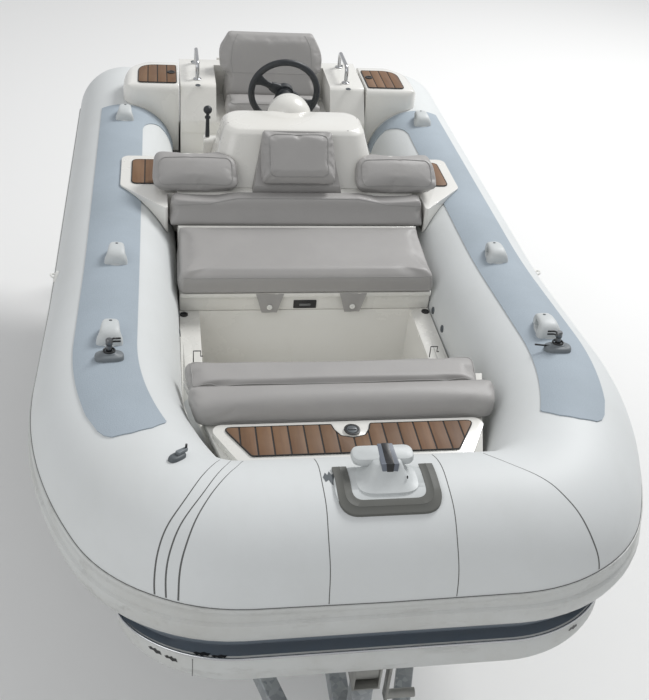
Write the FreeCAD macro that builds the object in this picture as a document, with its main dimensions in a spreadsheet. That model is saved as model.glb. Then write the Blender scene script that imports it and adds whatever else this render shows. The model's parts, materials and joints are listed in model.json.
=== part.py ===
import math
import os
import re

import FreeCAD
import Part
import Sketcher

# Inflatable rib boat with a jet drive, sitting on its road trailer.
# +X is the port side, +Y runs aft, +Z is up and the ground is at zero.
# Stations are measured aft from the bow, rises up from the axis of the collar amidships.

doc = FreeCAD.newDocument("rib_boat")
sheet = doc.addObject("Spreadsheet::Sheet", "dims")

# Driving dimensions: name, then millimetres, degrees or a formula from other names
DIMS = [
    # collar
    ("overall_beam", 1700), ("collar_end_station", 3200), ("tube_radius", 205),
    ("strake_thickness", 12), ("sheer_station", 1350), ("sheer_angle", 5.9),
    ("sheer_bend_radius", 3000), ("bow_sweep_radius", 1120), ("bow_sweep_angle", 28),
    ("bow_corner_radius", 220), ("seat_gap", 0.3),
    ("tube_axis_height", "=frame_top + keel_clearance + keel_drop"),
    ("tube_offset", "=overall_beam / 2 - strake_thickness - tube_radius"),
    ("tube_inner", "=tube_offset - tube_radius"),
    ("patch_thickness", 3), ("patch_half_angle", 24), ("patch_front_station", 400),
    ("patch_aft_gap", 12), ("patch_aft_station", "=pod_front - patch_aft_gap"),
    ("patch_foot_length", 95), ("patch_foot_angle", 170), ("strake_aft_station", "=transom_station"),
    ("strake_top_angle", 8), ("strake_bottom_angle", -24), ("lip_reach", 186),
    ("lip_top_drop", 150), ("lip_depth", 68), ("lip_root", 70), ("lip_aft_station", 250),
    ("lip_nose", 12),
    # hull
    ("transom_station", 2960), ("transom_thickness", 30), ("keel_drop", 500),
    ("keel_clearance", 60), ("hull_skin", 32), ("chine_inset", 33),
    ("hull_half_breadth", "=tube_offset - chine_inset"), ("straight_station", 1500),
    ("shoulder_station", 900), ("forefoot_station", 480), ("stem_station", 240),
    ("stringer_offset", "=hull_half_breadth / 2"), ("stringer_thickness", 22),
    ("stringer_front", 900),
    # cockpit
    ("side_gap", 3), ("floor_drop", 260), ("floor_thickness", 25), ("ledge_drop", 5),
    ("flange_thickness", 15), ("wall", 20), ("liner_inset", 33),
    ("liner_half_width", "=tube_inner - liner_inset"), ("liner_wall", 35),
    ("well_half_width", "=liner_half_width - liner_wall"), ("liner_front", 775),
    ("liner_aft", "=bay_front - 7"), ("front_well_front", 800), ("front_well_aft", "=bench_front"),
    ("helm_well_front", "=thwart_aft"), ("helm_well_aft", "=liner_aft - wall - side_gap"),
    # bow step, its locker and its lid
    ("step_front", 440), ("step_length", 360), ("step_aft", "=step_front + step_length"),
    ("step_top_rise", 160), ("step_box_depth", 200), ("step_box_inset", 45),
    ("step_rim_overhang", 28), ("lid_front", 442), ("lid_length", 140),
    ("lid_aft", "=lid_front + lid_length"), ("lid_front_inset", 128), ("lid_aft_inset", 54),
    ("lid_front_half", "=tube_inner - lid_front_inset"),
    ("lid_aft_half", "=tube_inner - lid_aft_inset"), ("lid_thickness", 22), ("lid_corner", 24),
    ("lid_hinge_radius", 6), ("lid_hinge_half", 120), ("latch_radius", 21), ("latch_margin", 40),
    ("teak_thickness", 4), ("teak_margin", 26), ("plank_pitch", 40), ("caulk_width", 3.5),
    ("caulk_depth", 1.5), ("bolster_length", 114), ("bolster_rise", 66), ("bolster_gap", 10),
    ("bolster_front", "=lid_aft + bolster_gap"), ("bolster_aft", "=bolster_front + bolster_length"),
    ("bow_cushion_length", 135), ("bow_cushion_aft", "=bolster_aft + bow_cushion_length"),
    ("bow_cushion_depth", 40), ("bow_seat_front_inset", 40),
    ("bow_seat_front_half", "=tube_inner - bow_seat_front_inset"),
    ("bow_seat_aft_half", "=tube_inner + side_gap"),
    # bench
    ("bench_front", 1372), ("bench_half_width", "=tube_inner - side_gap"), ("bench_base_rise", 55),
    ("bench_lid_thickness", 15), ("bench_lid_overhang", 12),
    ("bench_hinge_station", "=thwart_front - 16"), ("bench_hinge_rise", 152), ("hinge_barrel", 6),
    ("bench_cushion_overhang", 27), ("bench_cushion_widening", 6),
    ("bench_cushion_half", "=tube_inner + bench_cushion_widening"), ("bench_cushion_top", 145),
    ("bench_cushion_round", 28), ("back_cushion_widening", 27),
    ("back_cushion_half", "=tube_inner + back_cushion_widening"), ("back_cushion_top", 252),
    ("back_cushion_end_top", 229), ("back_step_outer", 285), ("back_step_inner", 215),
    ("back_cushion_depth", 42),
    # thwart and side steps
    ("thwart_front", 1672), ("thwart_length", 418), ("thwart_aft", "=thwart_front + thwart_length"),
    ("thwart_seat_rise", 150), ("thwart_rise", 232), ("thwart_half_width", "=tube_inner - side_gap"),
    ("back_seat_depth", 64), ("thwart_slope_run", 32),
    ("thwart_slope_front", "=thwart_front + back_seat_depth"),
    ("thwart_slope_aft", "=thwart_slope_front + thwart_slope_run"), ("side_step_inset", 9),
    ("side_step_half", "=tube_offset - side_step_inset"), ("side_step_front_run", 178),
    ("side_step_rise", 216), ("side_step_corner", 30), ("side_teak_margin", 40),
    # console and pads
    ("console_base_inset", 120), ("console_base_half", "=thwart_half_width - console_base_inset"),
    ("console_taper", 44), ("console_knee_half", "=console_base_half - console_taper"),
    ("console_front_gap", 32), ("console_base_front", "=thwart_slope_aft + console_front_gap"),
    ("console_front_run", 80), ("console_aft", "=thwart_aft - side_gap"),
    ("console_top_rise", 420), ("console_shoulder", 36), ("console_corner", 60),
    ("console_skin", 12), ("pad_lean", 40), ("centre_pad_front", "=thwart_front + 53"),
    ("centre_pad_rise", 293), ("centre_pad_width", 250), ("centre_pad_height", 200),
    ("centre_pad_thickness", 50), ("pad_round", 22), ("pad_shell_base_half", 160),
    ("pad_shell_top_half", 118), ("pad_shell_depth", 60), ("side_pad_inner", 215),
    ("side_pad_widening", 80), ("side_pad_outer", "=thwart_half_width + side_pad_widening"),
    ("side_pad_run", 97), ("side_pad_height", 81), ("side_pad_depth", 68),
    ("side_pad_corner", 34),
    # helm
    ("wheel_reach", 203), ("wheel_station", "=console_aft + wheel_reach"), ("wheel_rise", 400),
    ("wheel_rake", 8), ("wheel_rim_radius", 129), ("wheel_turned", 27), ("wheel_rim_thickness", 27),
    ("wheel_hub_radius", 36), ("wheel_hub_length", 30), ("spoke_thickness", 11),
    ("spoke_hub_width", 26), ("spoke_rim_width", 46), ("column_dome_radius", 85),
    ("column_dome_reach", 175), ("column_tip_radius", 40), ("throttle_rise", 280),
    ("throttle_offset", 308), ("throttle_aft_gap", 30), ("throttle_base_height", 60),
    ("throttle_base_length", 52), ("throttle_base_width", 56), ("throttle_reach", 136),
    ("throttle_knob_radius", 16), ("throttle_rod", 7),
    # helm seat on the engine hatch
    ("bay_front", 2565), ("bay_aft", 2950), ("bay_wall_rise", 100),
    ("hatch_hinge_gap", 6), ("hatch_hinge_station", "=hatch_aft + hatch_hinge_gap"),
    ("hatch_half_width", "=liner_half_width"), ("hatch_rise", 285),
    ("hatch_front", "=bay_front - 5"), ("hatch_aft", "=bay_aft - side_gap"),
    ("hatch_skin", 18), ("hatch_slope_run", 84), ("hatch_round", 30),
    ("helm_half_width", 235), ("helm_side_gap", 10),
    ("helm_recess_half", "=helm_half_width + helm_side_gap"), ("helm_shelf", 73),
    ("helm_recess_aft", "=hatch_aft - helm_shelf"), ("helm_seat_rise", 150),
    ("helm_cushion_depth", 72), ("helm_seat_length", 148), ("helm_seat_half", 205),
    ("helm_back_gap", 2), ("helm_back_front", "=hatch_front + helm_seat_length + helm_side_gap + helm_back_gap"),
    ("helm_back_lean", 98), ("helm_back_thickness", 60), ("helm_back_top", 467),
    ("helm_back_top_half", 189), ("helm_crease_rise", 292),
    ("handle_offset", 322), ("handle_front", 2700), ("handle_length", 190), ("handle_height", 70),
    ("handle_rod", 8), ("handle_foot", 17), ("pod_front", 2605),
    ("pod_inner", "=hatch_half_width + helm_round_gap"),
    ("helm_round_gap", 7), ("pod_outer", "=tube_offset - 1"), ("pod_rise", 292), ("pod_aft_gap", 45), ("pod_aft", "=bay_aft - pod_aft_gap"),
    ("pod_aft_corner", 215), ("pod_front_corner", 60), ("pod_round", 42), ("pod_front_round", 32),
    # engine and jet
    ("engine_width", 420), ("engine_length", 300), ("engine_height", 300),
    ("jet_drop", 372), ("duct_bore", 78), ("duct_wall", 9), ("duct_front", 2700),
    ("impeller_station", 2900), ("impeller_radius", 73),
    ("nozzle_pivot_station", 3050), ("nozzle_ball", 70), ("nozzle_exit", 46),
    ("bucket_pivot_station", 3068), ("bucket_radius", 120), ("grate_front", 2380),
    ("grate_length", 260),
    # fittings on the collar
    ("handle_pad_length", 104), ("handle_pad_width", 64), ("handle_pad_height", 46),
    ("handle_opening", 52), ("handle_opening_height", 22), ("handle_angle", 93),
    ("collar_handle_fore", 853),
    ("collar_handle_mid", 1355), ("collar_handle_aft", 2480), ("rowlock_station", 740), ("rowlock_width", 76), ("rowlock_length", 50),
    ("rowlock_bore", 8), ("cleat_head_width", 155), ("cleat_head_length", 55),
    ("cleat_head_depth", 20), ("cleat_head_rise", 46), ("cleat_neck_width", 84),
    ("cleat_neck_length", 70), ("cleat_plate_width", 222), ("cleat_plate_length", 132),
    ("cleat_plate_thickness", 6), ("cleat_slot", 40), ("cleat_station", 262),
    ("eye_station", 1450), ("eye_angle", 24), ("valve_from_bow", 491), ("valve_radius", 24),
    # trailer
    ("coupling_station", -640), ("coupling_length", 220), ("ball_radius", 25),
    ("frame_top", 390), ("beam_depth", 60), ("beam_width", 50), ("frame_half_width", 450),
    ("frame_aft", 2860), ("frame_corner", 1150), ("frame_nose", -200),
    ("axle_station", 2060), ("tyre_radius", 248), ("tyre_width", 145), ("track_half", 705),
    ("rim_radius", 127), ("mudguard_gap", 42), ("mudguard_width", 180),
    ("bunk_offset", "=hull_half_breadth / 2"), ("bunk_front", 1250), ("bunk_aft", 2800),
    ("bunk_width", 80), ("bunk_depth", 50), ("post_station", 120), ("post_top", 700),
    ("jockey_station", -380), ("jockey_offset", 84), ("jockey_radius", 100),
    ("jockey_width", 55), ("jockey_trail", 45), ("jockey_tube", 24), ("jockey_travel", 200),
    ("sleeve_low", 345), ("sleeve_top", 620), ("board_half_width", 760),
    ("board_station", 3030), ("board_height", 120), ("lamp_width", 200), ("lamp_height", 90),
]
for row, (alias, number) in enumerate(DIMS, start=1):
    sheet.set("A%d" % row, alias)
    sheet.setAlias("B%d" % row, alias)
for row, (alias, number) in enumerate(DIMS, start=1):
    sheet.set("B%d" % row, str(number))
doc.recompute()


class Values:
    pass


d = Values()
for alias, number in DIMS:
    setattr(d, alias, float(sheet.get(alias)))

vec = FreeCAD.Vector
WORDS = re.compile(r"\b(%s)\b" % "|".join(sorted((alias for alias, _ in DIMS), key=len, reverse=True)))


def bound(text):
    return WORDS.sub(r"dims.\1", text)


def rise(value):
    return d.tube_axis_height + value


def place(piece, at, axis=None, angle=0):
    if axis is not None:
        piece.Placement = FreeCAD.Placement(vec(0, 0, 0), FreeCAD.Rotation(vec(*axis), angle))
    for name, text in zip("xyz", at):
        piece.setExpression("Placement.Base." + name, bound(text))


def primitive(kind, name, sizes, at, axis=None, angle=0):
    piece = doc.addObject("Part::" + kind, name)
    for prop, text in sizes.items():
        piece.setExpression(prop, bound(text))
    place(piece, at, axis, angle)
    return piece


def block(name, size, at, axis=None, angle=0):
    sizes = dict(zip(("Length", "Width", "Height"), size))
    return primitive("Box", name, sizes, at, axis, angle)


def rod(name, radius, length, at, axis=None, angle=0):
    return primitive("Cylinder", name, {"Radius": radius, "Height": length}, at, axis, angle)


ALONG_X = ((0, 1, 0), 90)
ALONG_Y = ((1, 0, 0), -90)


def joined(name, pieces):
    fuse = doc.addObject("Part::MultiFuse", name)
    fuse.Shapes = pieces
    fuse.Refine = True
    return fuse


def shared(name, pieces):
    common = doc.addObject("Part::MultiCommon", name)
    common.Shapes = pieces
    return common


def less(name, base, tool):
    cut = doc.addObject("Part::Cut", name)
    cut.Base = base
    cut.Tool = tool
    cut.Refine = True
    return cut


def lessAll(name, base, tools):
    return less(name, base, joined(name + "_voids", tools) if len(tools) > 1 else tools[0])


def mirrored(name, source):
    copy = doc.addObject("Part::Mirroring", name)
    copy.Source = source
    copy.Normal = vec(1, 0, 0)
    return copy


def pair(name, source):
    doc.recompute()
    both = doc.addObject("Part::Compound", name)
    both.Links = [source, mirrored(name + "_other_side", source)]
    return both


def feature(name, shape):
    piece = doc.addObject("Part::Feature", name)
    piece.Shape = shape
    return piece


ROLES = {"XY": "XY_Plane", "XZ": "XZ_Plane", "YZ": "YZ_Plane"}


def cornerArc(before, here, after, radius):
    """The start, middle and end of the arc that rounds a corner."""
    towards = (before - here).normalize()
    onward = (after - here).normalize()
    half = towards.getAngle(onward) / 2
    reach = radius / math.tan(half)
    inward = (towards + onward).normalize()
    middle = here + inward * (radius / math.sin(half) - radius)
    return here + towards * reach, middle, here + onward * reach


def outlineEdges(points):
    """Edges through (a, b) corners, a third value rounding its corner, with their two end codes."""
    corners = [vec(p[0], p[1], 0) for p in points]
    stops = []
    for k, corner in enumerate(corners):
        radius = points[k][2] if len(points[k]) > 2 else 0
        following = corners[(k + 1) % len(corners)]
        stops.append(cornerArc(corners[k - 1], corner, following, radius) if radius
                     else (corner, None, corner))
    edges = []
    for (first, middle, last), following in zip(stops, stops[1:] + stops[:1]):
        if middle is not None:
            leftward = (middle - first).cross(last - middle).z > 0
            edges.append((Part.Arc(first, middle, last), 1, 2) if leftward
                         else (Part.Arc(last, middle, first), 2, 1))
        if (following[0] - last).Length > 1e-6:
            edges.append((Part.LineSegment(last, following[0]), 1, 2))
    return edges


def prism(name, plane, points, length, start="0", middle=False):
    """A padded outline: the points are in the plane's own two axes."""
    body = doc.addObject("PartDesign::Body", name)
    support = [f for f in body.Origin.OriginFeatures if f.Role == ROLES[plane]][0]
    sketch = body.newObject("Sketcher::SketchObject", name + "_outline")
    sketch.AttachmentSupport = [(support, "")]
    sketch.MapMode = "FlatFace"
    edges = outlineEdges(points)
    for edge, begin, end in edges:
        sketch.addGeometry(edge, False)
    count = len(edges)
    for k in range(count):
        following = (k + 1) % count
        joint = Sketcher.Constraint("Coincident", k, edges[k][2], following, edges[following][1])
        sketch.addConstraint(joint)
    pad = body.newObject("PartDesign::Pad", name + "_pad")
    pad.Profile = sketch
    pad.setExpression("Length", bound(length))
    pad.Midplane = middle
    pad.Reversed = plane == "XZ"
    base = {"XY": "z", "XZ": "y", "YZ": "x"}[plane]
    body.setExpression("Placement.Base." + base, bound(start))
    body.Tip = pad
    return body


def prismBetween(name, plane, points, low, high):
    return prism(name, plane, points, "(%s) - (%s)" % (high, low), low)


def wide(name, profile, half):
    """A side profile, station and height, spread equally to both sides."""
    return prism(name, "YZ", profile, "2 * (%s)" % half, "0", middle=True)


def moulded(name, views):
    """The form that fits outlines seen in plan (XY), from the side (YZ) or from ahead (XZ)."""
    pieces = []
    for plane, points in views.items():
        if plane == "YZ":
            pieces.append(wide(name + "_side", points, "overall_beam"))
        else:
            depth = "2 * tube_axis_height" if plane == "XY" else "2 * collar_end_station"
            pieces.append(prism("%s_%s" % (name, plane), plane, points, depth))
    return shared(name, pieces)


def slab(points, thickness):
    """A plate on the XY plane from an outline whose corners may be rounded."""
    wire = Part.Wire([edge.toShape() for edge, begin, end in outlineEdges(points)])
    return Part.Face(wire).extrude(vec(0, 0, thickness))


def boxOutline(low_a, high_a, low_b, high_b, radius=0):
    """The four corners of a rectangle, all rounded alike."""
    corners = [(low_a, low_b), (high_a, low_b), (high_a, high_b), (low_a, high_b)]
    return [corner + (radius,) for corner in corners] if radius else corners


def planked(name, board, low_x, high_x, front, aft, top):
    """Cuts the caulked grooves between fore and aft planks, their count from the plank's pitch."""
    doc.recompute()
    shape = board.Shape
    count = max(1, round((high_x - low_x) / d.plank_pitch))
    pitch = (high_x - low_x) / count
    grooves = []
    for k in range(1, count):
        grooves.append(Part.makeBox(d.caulk_width, aft - front, 2 * d.caulk_depth,
                                    vec(low_x + k * pitch - d.caulk_width / 2, front,
                                        top - d.caulk_depth)))
    return feature(name, largest(shape.cut(grooves)))


def plan(half_outline):
    """Closes a half outline of (offset, station) over the centreline."""
    return half_outline + [(-point[0],) + tuple(point[1:]) for point in reversed(half_outline)]


def bentRod(points, bend, radius):
    """A round rod through the points with one bend radius."""
    corners = [vec(*p) for p in points]
    edges = []
    begin = corners[0]
    for before, corner, after in zip(corners, corners[1:], corners[2:]):
        first, middle, last = cornerArc(before, corner, after, bend)
        edges.append(Part.LineSegment(begin, first).toShape())
        edges.append(Part.Arc(first, middle, last).toShape())
        begin = last
    edges.append(Part.LineSegment(begin, corners[-1]).toShape())
    spine = Part.Wire(edges)
    heading = (corners[1] - corners[0]).normalize()
    circle = Part.Wire([Part.makeCircle(radius, corners[0], heading)])
    return spine.makePipeShell([circle], True, False)


# The collar's path, from its aft end forward and round to the centreline

bow_station = d.tube_radius + d.strake_thickness
dome_station = d.collar_end_station - d.tube_radius
sheer = math.radians(d.sheer_angle)
sweep = math.radians(d.bow_sweep_angle)
bend_reach = d.sheer_bend_radius * math.tan(sheer / 2)
corner_reach = d.bow_corner_radius * (1 - math.sin(sweep))
bow_reach = d.bow_sweep_radius * math.sin(sweep) + corner_reach
raised_length = (d.sheer_station - bow_station) / math.cos(sheer) - bow_reach - bend_reach
front_half = (d.tube_offset - d.bow_sweep_radius * (1 - math.cos(sweep))
              - d.bow_corner_radius * math.cos(sweep))


class Span:
    """One straight or curved stretch of the path, with the frame at its start."""

    def __init__(self, length, point, ahead, out, up, radius=None, upward=False):
        self.length = length
        self.frame = (point, ahead, out, up)
        self.radius = radius
        self.upward = upward

    def centre(self):
        point, ahead, out, up = self.frame
        return point + up * self.radius if self.upward else point - out * self.radius

    def axis(self):
        point, ahead, out, up = self.frame
        return ahead.cross(up) if self.upward else ahead.cross(out) * -1

    def at(self, distance):
        point, ahead, out, up = self.frame
        if self.radius is None:
            return point + ahead * distance, ahead, out, up
        turn = FreeCAD.Rotation(self.axis(), math.degrees(distance / self.radius))
        centre = self.centre()
        return (centre + turn.multVec(point - centre), turn.multVec(ahead),
                turn.multVec(out), turn.multVec(up))


def collarPath():
    steps = [
        (dome_station - d.sheer_station - bend_reach, None, False),
        (d.sheer_bend_radius * sheer, d.sheer_bend_radius, True),
        (raised_length, None, False),
        (d.bow_sweep_radius * sweep, d.bow_sweep_radius, False),
        (d.bow_corner_radius * (math.pi / 2 - sweep), d.bow_corner_radius, False),
        (front_half, None, False),
    ]
    frame = (vec(d.tube_offset, dome_station, d.tube_axis_height),
             vec(0, -1, 0), vec(1, 0, 0), vec(0, 0, 1))
    spans = []
    for length, radius, upward in steps:
        span = Span(length, *frame, radius=radius, upward=upward)
        spans.append(span)
        frame = span.at(length)
    return spans


path = collarPath()
path_length = sum(span.length for span in path)


def collarFrame(distance):
    for span in path:
        if distance <= span.length or span is path[-1]:
            return span.at(distance)
        distance -= span.length


def distanceAt(station):
    low, high = 0.0, path_length - front_half
    for _ in range(50):
        middle = (low + high) / 2
        if collarFrame(middle)[0].y > station:
            low = middle
        else:
            high = middle
    return low


def alongCollar(section, begin, finish):
    """Carries a flat section, drawn outboard and up from the tube's axis, along the path."""
    parts = []
    passed = 0.0
    for span in path:
        first = max(begin - passed, 0.0)
        last = min(finish - passed, span.length)
        passed += span.length
        if last - first < 1e-3:
            continue
        point, ahead, out, up = span.at(first)
        face = section.copy()
        face.Placement = FreeCAD.Placement(point, FreeCAD.Rotation(out, up, ahead, "XYZ"))
        if span.radius is None:
            parts.append(face.extrude(ahead * (last - first)))
        else:
            degrees = math.degrees((last - first) / span.radius)
            parts.append(face.revolve(span.centre(), span.axis(), degrees))
    return parts


def bothSides(parts, meet):
    other = [part.mirror(vec(0, 0, 0), vec(1, 0, 0)) for part in parts]
    if not meet:
        left = parts[0].multiFuse(parts[1:]).removeSplitter() if len(parts) > 1 else parts[0]
        right = left.mirror(vec(0, 0, 0), vec(1, 0, 0))
        return Part.makeCompound([left, right])
    whole = parts + other
    return whole[0].multiFuse(whole[1:]).removeSplitter()


def circleFace(radius):
    return Part.Face(Part.Wire([Part.makeCircle(radius)]))


def polygonFace(points):
    return Part.Face(Part.makePolygon([vec(a, b, 0) for a, b in points + points[:1]]))


def bandFace(inner, outer, low, high):
    """A band on the tube between two angles, counted up from straight outboard."""
    def at(radius, degrees):
        angle = math.radians(degrees)
        return vec(radius * math.cos(angle), radius * math.sin(angle), 0)
    middle = (low + high) / 2
    edges = [
        Part.Arc(at(inner, low), at(inner, middle), at(inner, high)).toShape(),
        Part.LineSegment(at(inner, high), at(outer, high)).toShape(),
        Part.Arc(at(outer, high), at(outer, middle), at(outer, low)).toShape(),
        Part.LineSegment(at(outer, low), at(inner, low)).toShape(),
    ]
    return Part.Face(Part.Wire(edges))


def collarShape(radius):
    dome = Part.makeSphere(radius, path[0].frame[0], vec(0, 1, 0), 0, 90, 360)
    return bothSides([dome] + alongCollar(circleFace(radius), 0, path_length), True)


collar_shape = collarShape(d.tube_radius)
collar_seat = collarShape(d.tube_radius + d.seat_gap)
step_seat = collarShape(d.tube_radius + d.patch_thickness + 3 * d.seat_gap)
nodes = {}


def node(name, piece):
    piece.Label = name
    nodes[name] = piece
    return piece


def tubeCollar():
    node("tube_collar", feature("tube_collar", collar_shape))


def tubePatches():
    low = 90 - d.patch_half_angle
    high = 90 + d.patch_half_angle
    inner = d.tube_radius + d.seat_gap
    outer = inner + d.patch_thickness
    begin = distanceAt(d.patch_aft_station)
    parts = alongCollar(bandFace(inner, outer, low, high), begin, distanceAt(d.patch_front_station))
    # the foot goes down the inboard side ahead of the pod
    parts += alongCollar(bandFace(inner, outer, high, d.patch_foot_angle), begin,
                         begin + d.patch_foot_length)
    node("tube_patches", feature("tube_patches", bothSides(parts, False)))


def rubStrakes():
    inner = d.tube_radius + d.seat_gap
    outer = d.tube_radius + d.strake_thickness
    section = bandFace(inner, outer, d.strake_bottom_angle, d.strake_top_angle)
    parts = alongCollar(section, distanceAt(d.strake_aft_station), path_length)
    node("rub_strake", feature("rub_strake", bothSides(parts, True)))
    nose = d.lip_nose
    top = -d.lip_top_drop
    bottom = top - d.lip_depth
    outline = [(d.lip_root, bottom), (d.lip_reach - nose, bottom), (d.lip_reach, bottom + nose),
               (d.lip_reach, top - nose), (d.lip_reach - nose, top), (d.lip_root, top)]
    lip = bothSides(alongCollar(polygonFace(outline), distanceAt(d.lip_aft_station), path_length), True)
    node("bow_lip", feature("bow_lip", lip.cut(collar_seat).removeSplitter()))


# Hull: station, keel depth, then breadth and depth of chine, rail and inner edge,
# as shares of the hull's half breadth and of the keel's drop
HULL_LINES = [
    (d.transom_station, 1.0, 1.0, 0.61, 0.975, 0.38, 0.708, 0.04),
    (d.straight_station, 1.0, 1.0, 0.60, 0.975, 0.37, 0.708, 0.04),
    (d.shoulder_station, 0.91, 0.892, 0.516, 0.933, 0.30, 0.683, -0.02),
    (d.forefoot_station, 0.60, 0.625, 0.36, 0.733, 0.19, 0.517, -0.06),
    (d.stem_station, 0.30, 0.283, 0.236, 0.392, 0.176, 0.283, 0.08),
]


def loftOf(rows):
    """A ruled loft through half sections of (offset, height), each at its station."""
    wires = []
    for station, half in rows:
        ring = [vec(x, station, z) for x, z in half]
        ring += [vec(-x, station, z) for x, z in reversed(half) if x > 0]
        wires.append(Part.makePolygon(ring + ring[:1]))
    return Part.makeLoft(wires, True, True)


def hullSections():
    """Each station with its half section of (offset, height) from keel to inner edge."""
    rows = []
    for station, keel, *shares in HULL_LINES:
        half = [(0, rise(-keel * d.keel_drop))]
        for breadth, depth in zip(shares[::2], shares[1::2]):
            half.append((breadth * d.hull_half_breadth, rise(-depth * d.keel_drop)))
        rows.append((station, half))
    return rows


def hullOutside():
    return loftOf(hullSections())


def hullCavity():
    skin = d.hull_skin
    rows = []
    for station, (keel, chine, rail, inner) in hullSections()[:-1]:
        mouth = inner[0] - 0.8 * skin
        station = min(station, d.transom_station - d.transom_thickness)
        rows.append((station, [(0, keel[1] + skin), (chine[0] - 1.25 * skin, chine[1] + 0.3 * skin),
                               (chine[0] - 1.5 * skin, chine[1] + 1.2 * skin),
                               (mouth, (rail[1] + inner[1]) / 2), (mouth, rise(d.step_top_rise))]))
    return loftOf(rows)


def hullShell():
    outer = hullOutside().cut(collar_seat)
    inner_aft = d.transom_station - d.transom_thickness
    cavity = hullCavity()
    shell = outer.cut(cavity)
    floor_under = rise(-d.floor_drop - d.floor_thickness)
    stringers = []
    for side in (1, -1):
        x = side * d.stringer_offset - d.stringer_thickness / 2
        board = Part.makeBox(d.stringer_thickness, inner_aft - d.stringer_front, d.keel_drop,
                             vec(x, d.stringer_front, floor_under - d.keel_drop))
        stringers.append(board.common(cavity))
    shell = shell.multiFuse(stringers)
    bore = Part.makeCylinder(d.duct_bore + d.duct_wall + d.seat_gap, 400,
                             vec(0, d.duct_front, rise(-d.jet_drop)), vec(0, 1, 0))
    shell = shell.cut(bore).removeSplitter()
    node("hull_shell", feature("hull_shell", shell))
    return outer


def deckLiner():
    floor_under = "tube_axis_height - floor_drop - floor_thickness"
    tub = block("liner_tub", ("2 * liner_half_width", "liner_aft - liner_front",
                              "floor_drop + floor_thickness - ledge_drop"),
                ("-liner_half_width", "liner_front", floor_under))
    ledge = block("liner_ledge", ("2 * bench_half_width", "liner_aft - liner_front",
                                  "flange_thickness"),
                  ("-bench_half_width", "liner_front",
                   "tube_axis_height - ledge_drop - flange_thickness"))
    floor_top = "tube_axis_height - floor_drop"
    voids = []
    for name, front, aft in (("front_well", "front_well_front", "front_well_aft"),
                             ("bench_locker", "bench_front + wall", "thwart_front - wall"),
                             ("console_locker", "thwart_front + wall", "thwart_aft - wall"),
                             ("helm_well", "helm_well_front", "helm_well_aft")):
        voids.append(block(name, ("2 * well_half_width", "(%s) - (%s)" % (aft, front),
                                  "2 * floor_drop"),
                           ("-well_half_width", front, floor_top)))
    whole = joined("liner_whole", [tub, ledge])
    liner = lessAll("deck_liner_sharp", whole, voids)
    doc.recompute()
    # the ledge stops short of the tube
    trimmed = liner.Shape.cut(collar_seat)
    trimmed = trimmed.cut(nodes["hull_shell"].Shape)
    node("deck_liner", feature("deck_liner", largest(trimmed)))


def largest(shape):
    """The main solid, without slivers that a cut may leave."""
    return max(shape.Solids, key=lambda solid: solid.Volume)


def bowStep():
    low = "tube_axis_height + step_top_rise - step_box_depth"
    top = "tube_axis_height + step_top_rise"
    front_half = d.lid_front_half - d.step_box_inset
    aft_half = d.liner_half_width - d.wall
    box_aft = d.step_aft - d.step_rim_overhang
    outline = plan([(front_half, d.step_front), (aft_half, box_aft)])
    box = prismBetween("step_box", "XY", outline, low, top)
    rim_outline = plan([(d.lid_front_half + d.step_rim_overhang, d.step_front - d.side_gap),
                        (d.bow_seat_aft_half - d.side_gap, d.step_aft)])
    rim = prismBetween("step_rim", "XY", rim_outline, top + " - wall", top)
    well = plan([(front_half - d.wall, d.step_front + d.wall), (aft_half - d.wall, box_aft - d.wall)])
    inside = prismBetween("step_inside", "XY", well, low + " + wall", top + " - wall")
    mouth_outline = plan([(front_half - d.wall, d.step_front + d.wall),
                          (d.lid_aft_half - d.step_box_inset - d.wall, d.lid_aft - d.wall)])
    mouth = prismBetween("step_mouth", "XY", mouth_outline, top + " - 2 * wall", top + " + wall")
    whole = lessAll("step_sharp", joined("step_whole", [box, rim]), [inside, mouth])
    doc.recompute()
    trimmed = whole.Shape.cut(collar_seat).cut(nodes["hull_shell"].Shape)
    node("bow_step", feature("bow_step", largest(trimmed)))


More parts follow.
